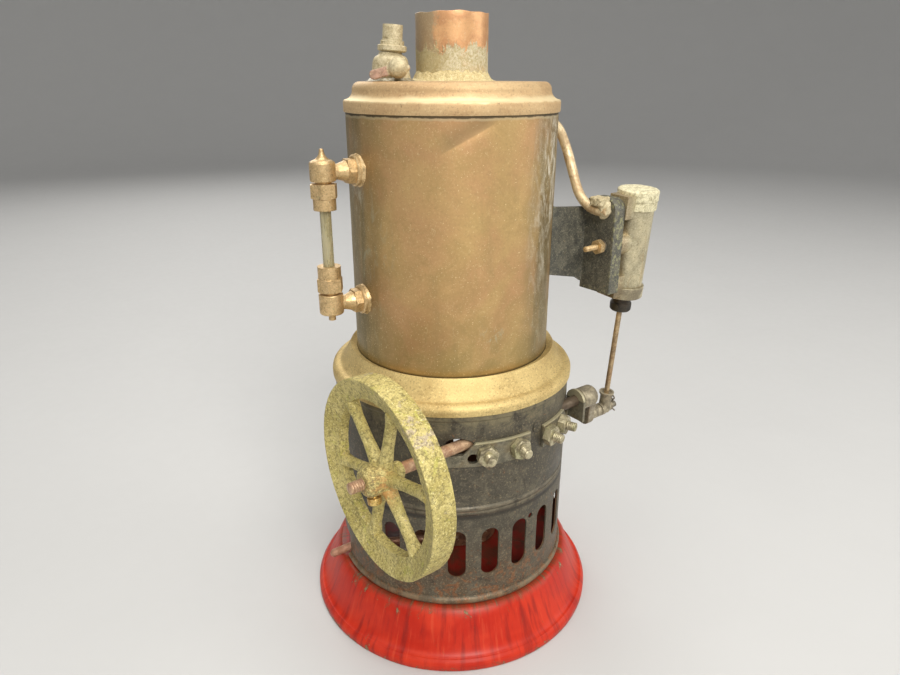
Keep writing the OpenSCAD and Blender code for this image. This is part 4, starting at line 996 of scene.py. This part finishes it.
# ---------- crankshaft and flywheel
tip = moved(threaded(2.2, 0, 5.8, 0.95, 0.26, 0.5), shift(-71.4, 0, 0) @ turn(-90, "Y"))
rod = fillet([(0, -71.5), (2.35, -71.5), (2.35, 46.1), (0, 46.1)], 0.2)
rod = moved(lathe(densify(rod, 2.5), 40, False, bumpy(0.05, 3.0)), ALONG_X)
build("crankshaft_rod", *join(rod, tip), "shaft", "crank_assembly", "bare_steel", "crankshaft",
      place=AT_SHAFT)

HALF, LIP = 4.6, 2.0
AT_WHEEL = shift(WHEEL_X, 0, 0)
flare = [(29 + 7.2 * s, LIP + (HALF - 0.1 - LIP) * s ** 1.6) for s in (k / 12 for k in range(13))]
rim = flare + [(36.55, HALF), (36.88, HALF - 0.12), (37.0, HALF - 0.45), (37.0, 0)]
rim += [(37.0, 0.45 - HALF), (36.88, 0.12 - HALF), (36.55, -HALF)] + [(r, -z) for r, z in flare[::-1]]
rim = moved(ring(rim, 1.2, 220, bumpy(0.14, 2.6)), AT_WHEEL @ ALONG_X)
hub = [(0, 0), (4.4, 0), (5.6, 1.2), (5.9, 8.6), (5.0, 12.0), (3.4, 13.0), (3.4, 16.1), (0, 16.1)]
wheel = [turned(hub, 60, shift(-71.6, 0, 0) @ ALONG_X, 0.5)]
spoke = lathe([(0, 2), (3.5, 2), (2.7, 7), (2.2, 14), (2.15, 24), (2.9, 29.7), (0, 29.7)], 28)
wheel += [moved(spoke, turn(46 + 60 * k, "X") @ AT_WHEEL @ turn(-90, "X")) for k in range(6)]
build("flywheel_casting", *join(rim, fuse(join(*wheel), 0.42, 4, 0.1, 1.6)), "wheel", "crank_assembly",
      "wheel_iron", "flywheel", place=AT_SHAFT)
screw = fillet([(0, 2.4), (1.2, 2.4), (1.2, 6.2), (2.6, 6.2), (2.6, 8.6), (0, 8.6)], 0.25)
build("wheel_set_screw", *lathe(densify(screw, 0.6), 40), "gold", "crank_assembly", "fitting_brass",
      "flywheel_set_screw", place=AT_SHAFT @ shift(-68, 0, 0) @ turn(-193, "X"))

boss = [(0, 0), (4.3, 0), (4.8, 0.6), (4.8, 7.4), (4.2, 8.5), (3, 9), (0, 9)]
boss = turned(boss, 48, shift(38.1, 0, 0) @ ALONG_X, 0.6)
web = slab([(49, -THROW), (52.6, -THROW), (47.1, 0), (42.6, 0)], 3.6)
foot = [(0, 49), (3.9, 49), (3.9, 52.6), (3.0, 52.9), (3.0, 59.8), (0, 59.8)]
foot = turned(foot, 48, shift(0, 0, -THROW) @ ALONG_X, 0.4)
build("crank_casting", *fuse(join(boss, web, foot), 0.28, 4, 0.06, 1.6), "crank", "crank_assembly",
      "bare_steel", "crank", sharp=180, place=AT_SHAFT @ Matrix.Rotation(CRANK_REST, 4, "X"))

# ---------- cylinder
AT_BORE = AT_PIVOT @ shift(CYL_X, 0, 0)
top = fillet([(0, 22.2), (7.6, 22.2), (8.5, 21.6), (8.5, 17.7), (8.25, 17.4), (8.25, 13.8), (7.62, 13.8),
              (7.62, 20.32), (0, 20.32)])
build("cylinder_top_cap_ring", *lathe(densify(top, 0.7), 96, False, bumpy(0.28, 2.0, 1.0)),
      "cylinder_cap", "oscillating_cylinder", "cylinder_metal", "cylinder_top_cap", place=AT_BORE)
low = fillet([(7.62, -19.4), (8.5, -19.4), (8.5, -24.4), (7.9, -24.85), (3.7, -24.9), (3.55, -29.4),
              (2.4, -29.4), (2.4, -25.2), (1.25, -25.2), (1.25, -23.0), (7.62, -23.0)], 0.25, 3, True)
build("cylinder_lower_cap_ring", *ring(low, 0.8, 96, bumpy(0.08, 2.4, 6.0)), "cylinder",
      "oscillating_cylinder", "cylinder_metal", "cylinder_bottom_cap", place=AT_BORE)
gland = fillet([(1.25, -32), (4.0, -32), (4.6, -31.3), (4.6, -28.3), (4.1, -27.8), (4.15, -25.1),
                (3.6, -25.1), (3.6, -29.5), (1.25, -29.6)], 0.3, 3, True)
build("gland_nut_piece", *ring(gland, 0.6, 72, bumpy(0.14, 1.8, 2.0)), "gland",
      "oscillating_cylinder", "fitting_brass", "gland_nut", place=AT_BORE)
stud = moved(threaded(1.2, 0, 22.2, 0.7, 0.16, 0.35, 28), shift(57.2, 0, 0) @ turn(-90, "Y"))
build("pivot_stud_thread", *stud, "fitting", "oscillating_cylinder", "fitting_brass", "pivot_stud",
      place=AT_PIVOT)
coil = [(45.6 - 0.75 * k / 26, 2.2 * cos(k * pi / 10), 2.2 * sin(k * pi / 10))
        for k in range(27)]
build("pivot_spring_coil", *tube(coil, 0.3, 12, True), "steel", "oscillating_cylinder",
      "bare_steel", "pivot_spring", sharp=60, place=AT_PIVOT)

# ---------- piston assembly
span = hypot(PIN_Y - SHAFT_Y, PIVOT_Z - PIN_Z)
rod = densify(fillet([(0, 4 - span), (1.2, 4 - span), (1.2, -14.2), (0, -14.2)], 0.1), 1.5)
build("piston_rod_bar", *lathe(rod, 36, False, bumpy(0.03, 1.5)), "rod", "piston_assembly",
      "bare_steel", "piston_rod", place=AT_BORE)
socket = [(0, -1.5), (2.65, -1.5), (2.75, 0), (2.7, 7.5), (3.5, 8.0), (3.5, 8.9), (2.4, 8.9), (2.3, 8.1),
          (0, 8.1)]
socket = lathe(fillet(socket, 0.25), 56)
eye = [(0, 60.2), (3, 60.2), (3, 62.4), (2.6, 64), (2.3, 68.2), (0, 68.2)]
eye = turned(eye, 44, shift(-CYL_X, 0, 0) @ ALONG_X)
build("rod_end_casting", *join(socket, eye), "crank", "piston_assembly", "bare_steel", "rod_end",
      place=AT_PIN @ shift(CYL_X, 0, 0))
leg = [(69.6, 0.2, z) for z in (-2.4, -1.5, 0, 1.5, 3.0)]
loop = [(69.6, 0.9 * y, 3.7 - z) for z, y in arc(0, 0, 0.9, 20, 340, 12)]
other = [(69.6, -0.2, z) for z in (3.0, 0.5, -1.5)] + [(70.1, -0.7, -2.4), (70.6, -1.3, -3.0)]
build("split_pin_wire", *tube(smooth_path(leg + loop + other, 4), 0.34, 10, True), "steel",
      "piston_assembly", "bare_steel", "split_pin", sharp=60, place=AT_PIN)

# ---------- burner
AT_DOOR = at_az(DOOR_AZ)
grip = [(14.4, 12.85, 28), (30, 12.85, 28), (44, 12.85, 28), (47.7, 12.85, 27.6), (51, 12.85, 26.4),
        (57.3, 12.85, 23.9)]
build("burner_handle_rod", *tube(smooth_path(grip), 1.88, 28, True), "handle", "burner",
      "pipe_copper", "burner_handle", sharp=60, place=AT_DOOR)
tuft = densify([(0, 24.4), (2.4, 24.4), (2.42, 35.0), (1.9, 35.6), (0.9, 35.1), (0, 35.5)], 0.5)
tufts = [moved(lathe(tuft, 28, False, bumpy(0.3, 0.8, x)), shift(x, 0, 0)) for x in (-13, 0, 13)]
build("wick_tufts", *join(*tufts), "wick", "burner", "wick_cord", "wicks", place=AT_DOOR)

# ---------- floor
m = Mat("pale_floor")
m.c = m.mix(m.noise(60, 3), (0.5, 0.5, 0.495), (0.52, 0.52, 0.515))
m.finish(m.span(m.noise(9, 3), 0.3, 0.7, 0.6, 0.7), [(m.noise(1.5, 3), 0.05, 0.2)])
sweep = [(0, 0), (1900, 0)] + arc(1900, 1100, 1100, -90, 0, 24) + [(3000, 2600)]
verts, faces = lathe(densify(sweep, 120), 96)
floor = add_object("floor", make_mesh("floor", verts, [face[::-1] for face in faces], m.m))
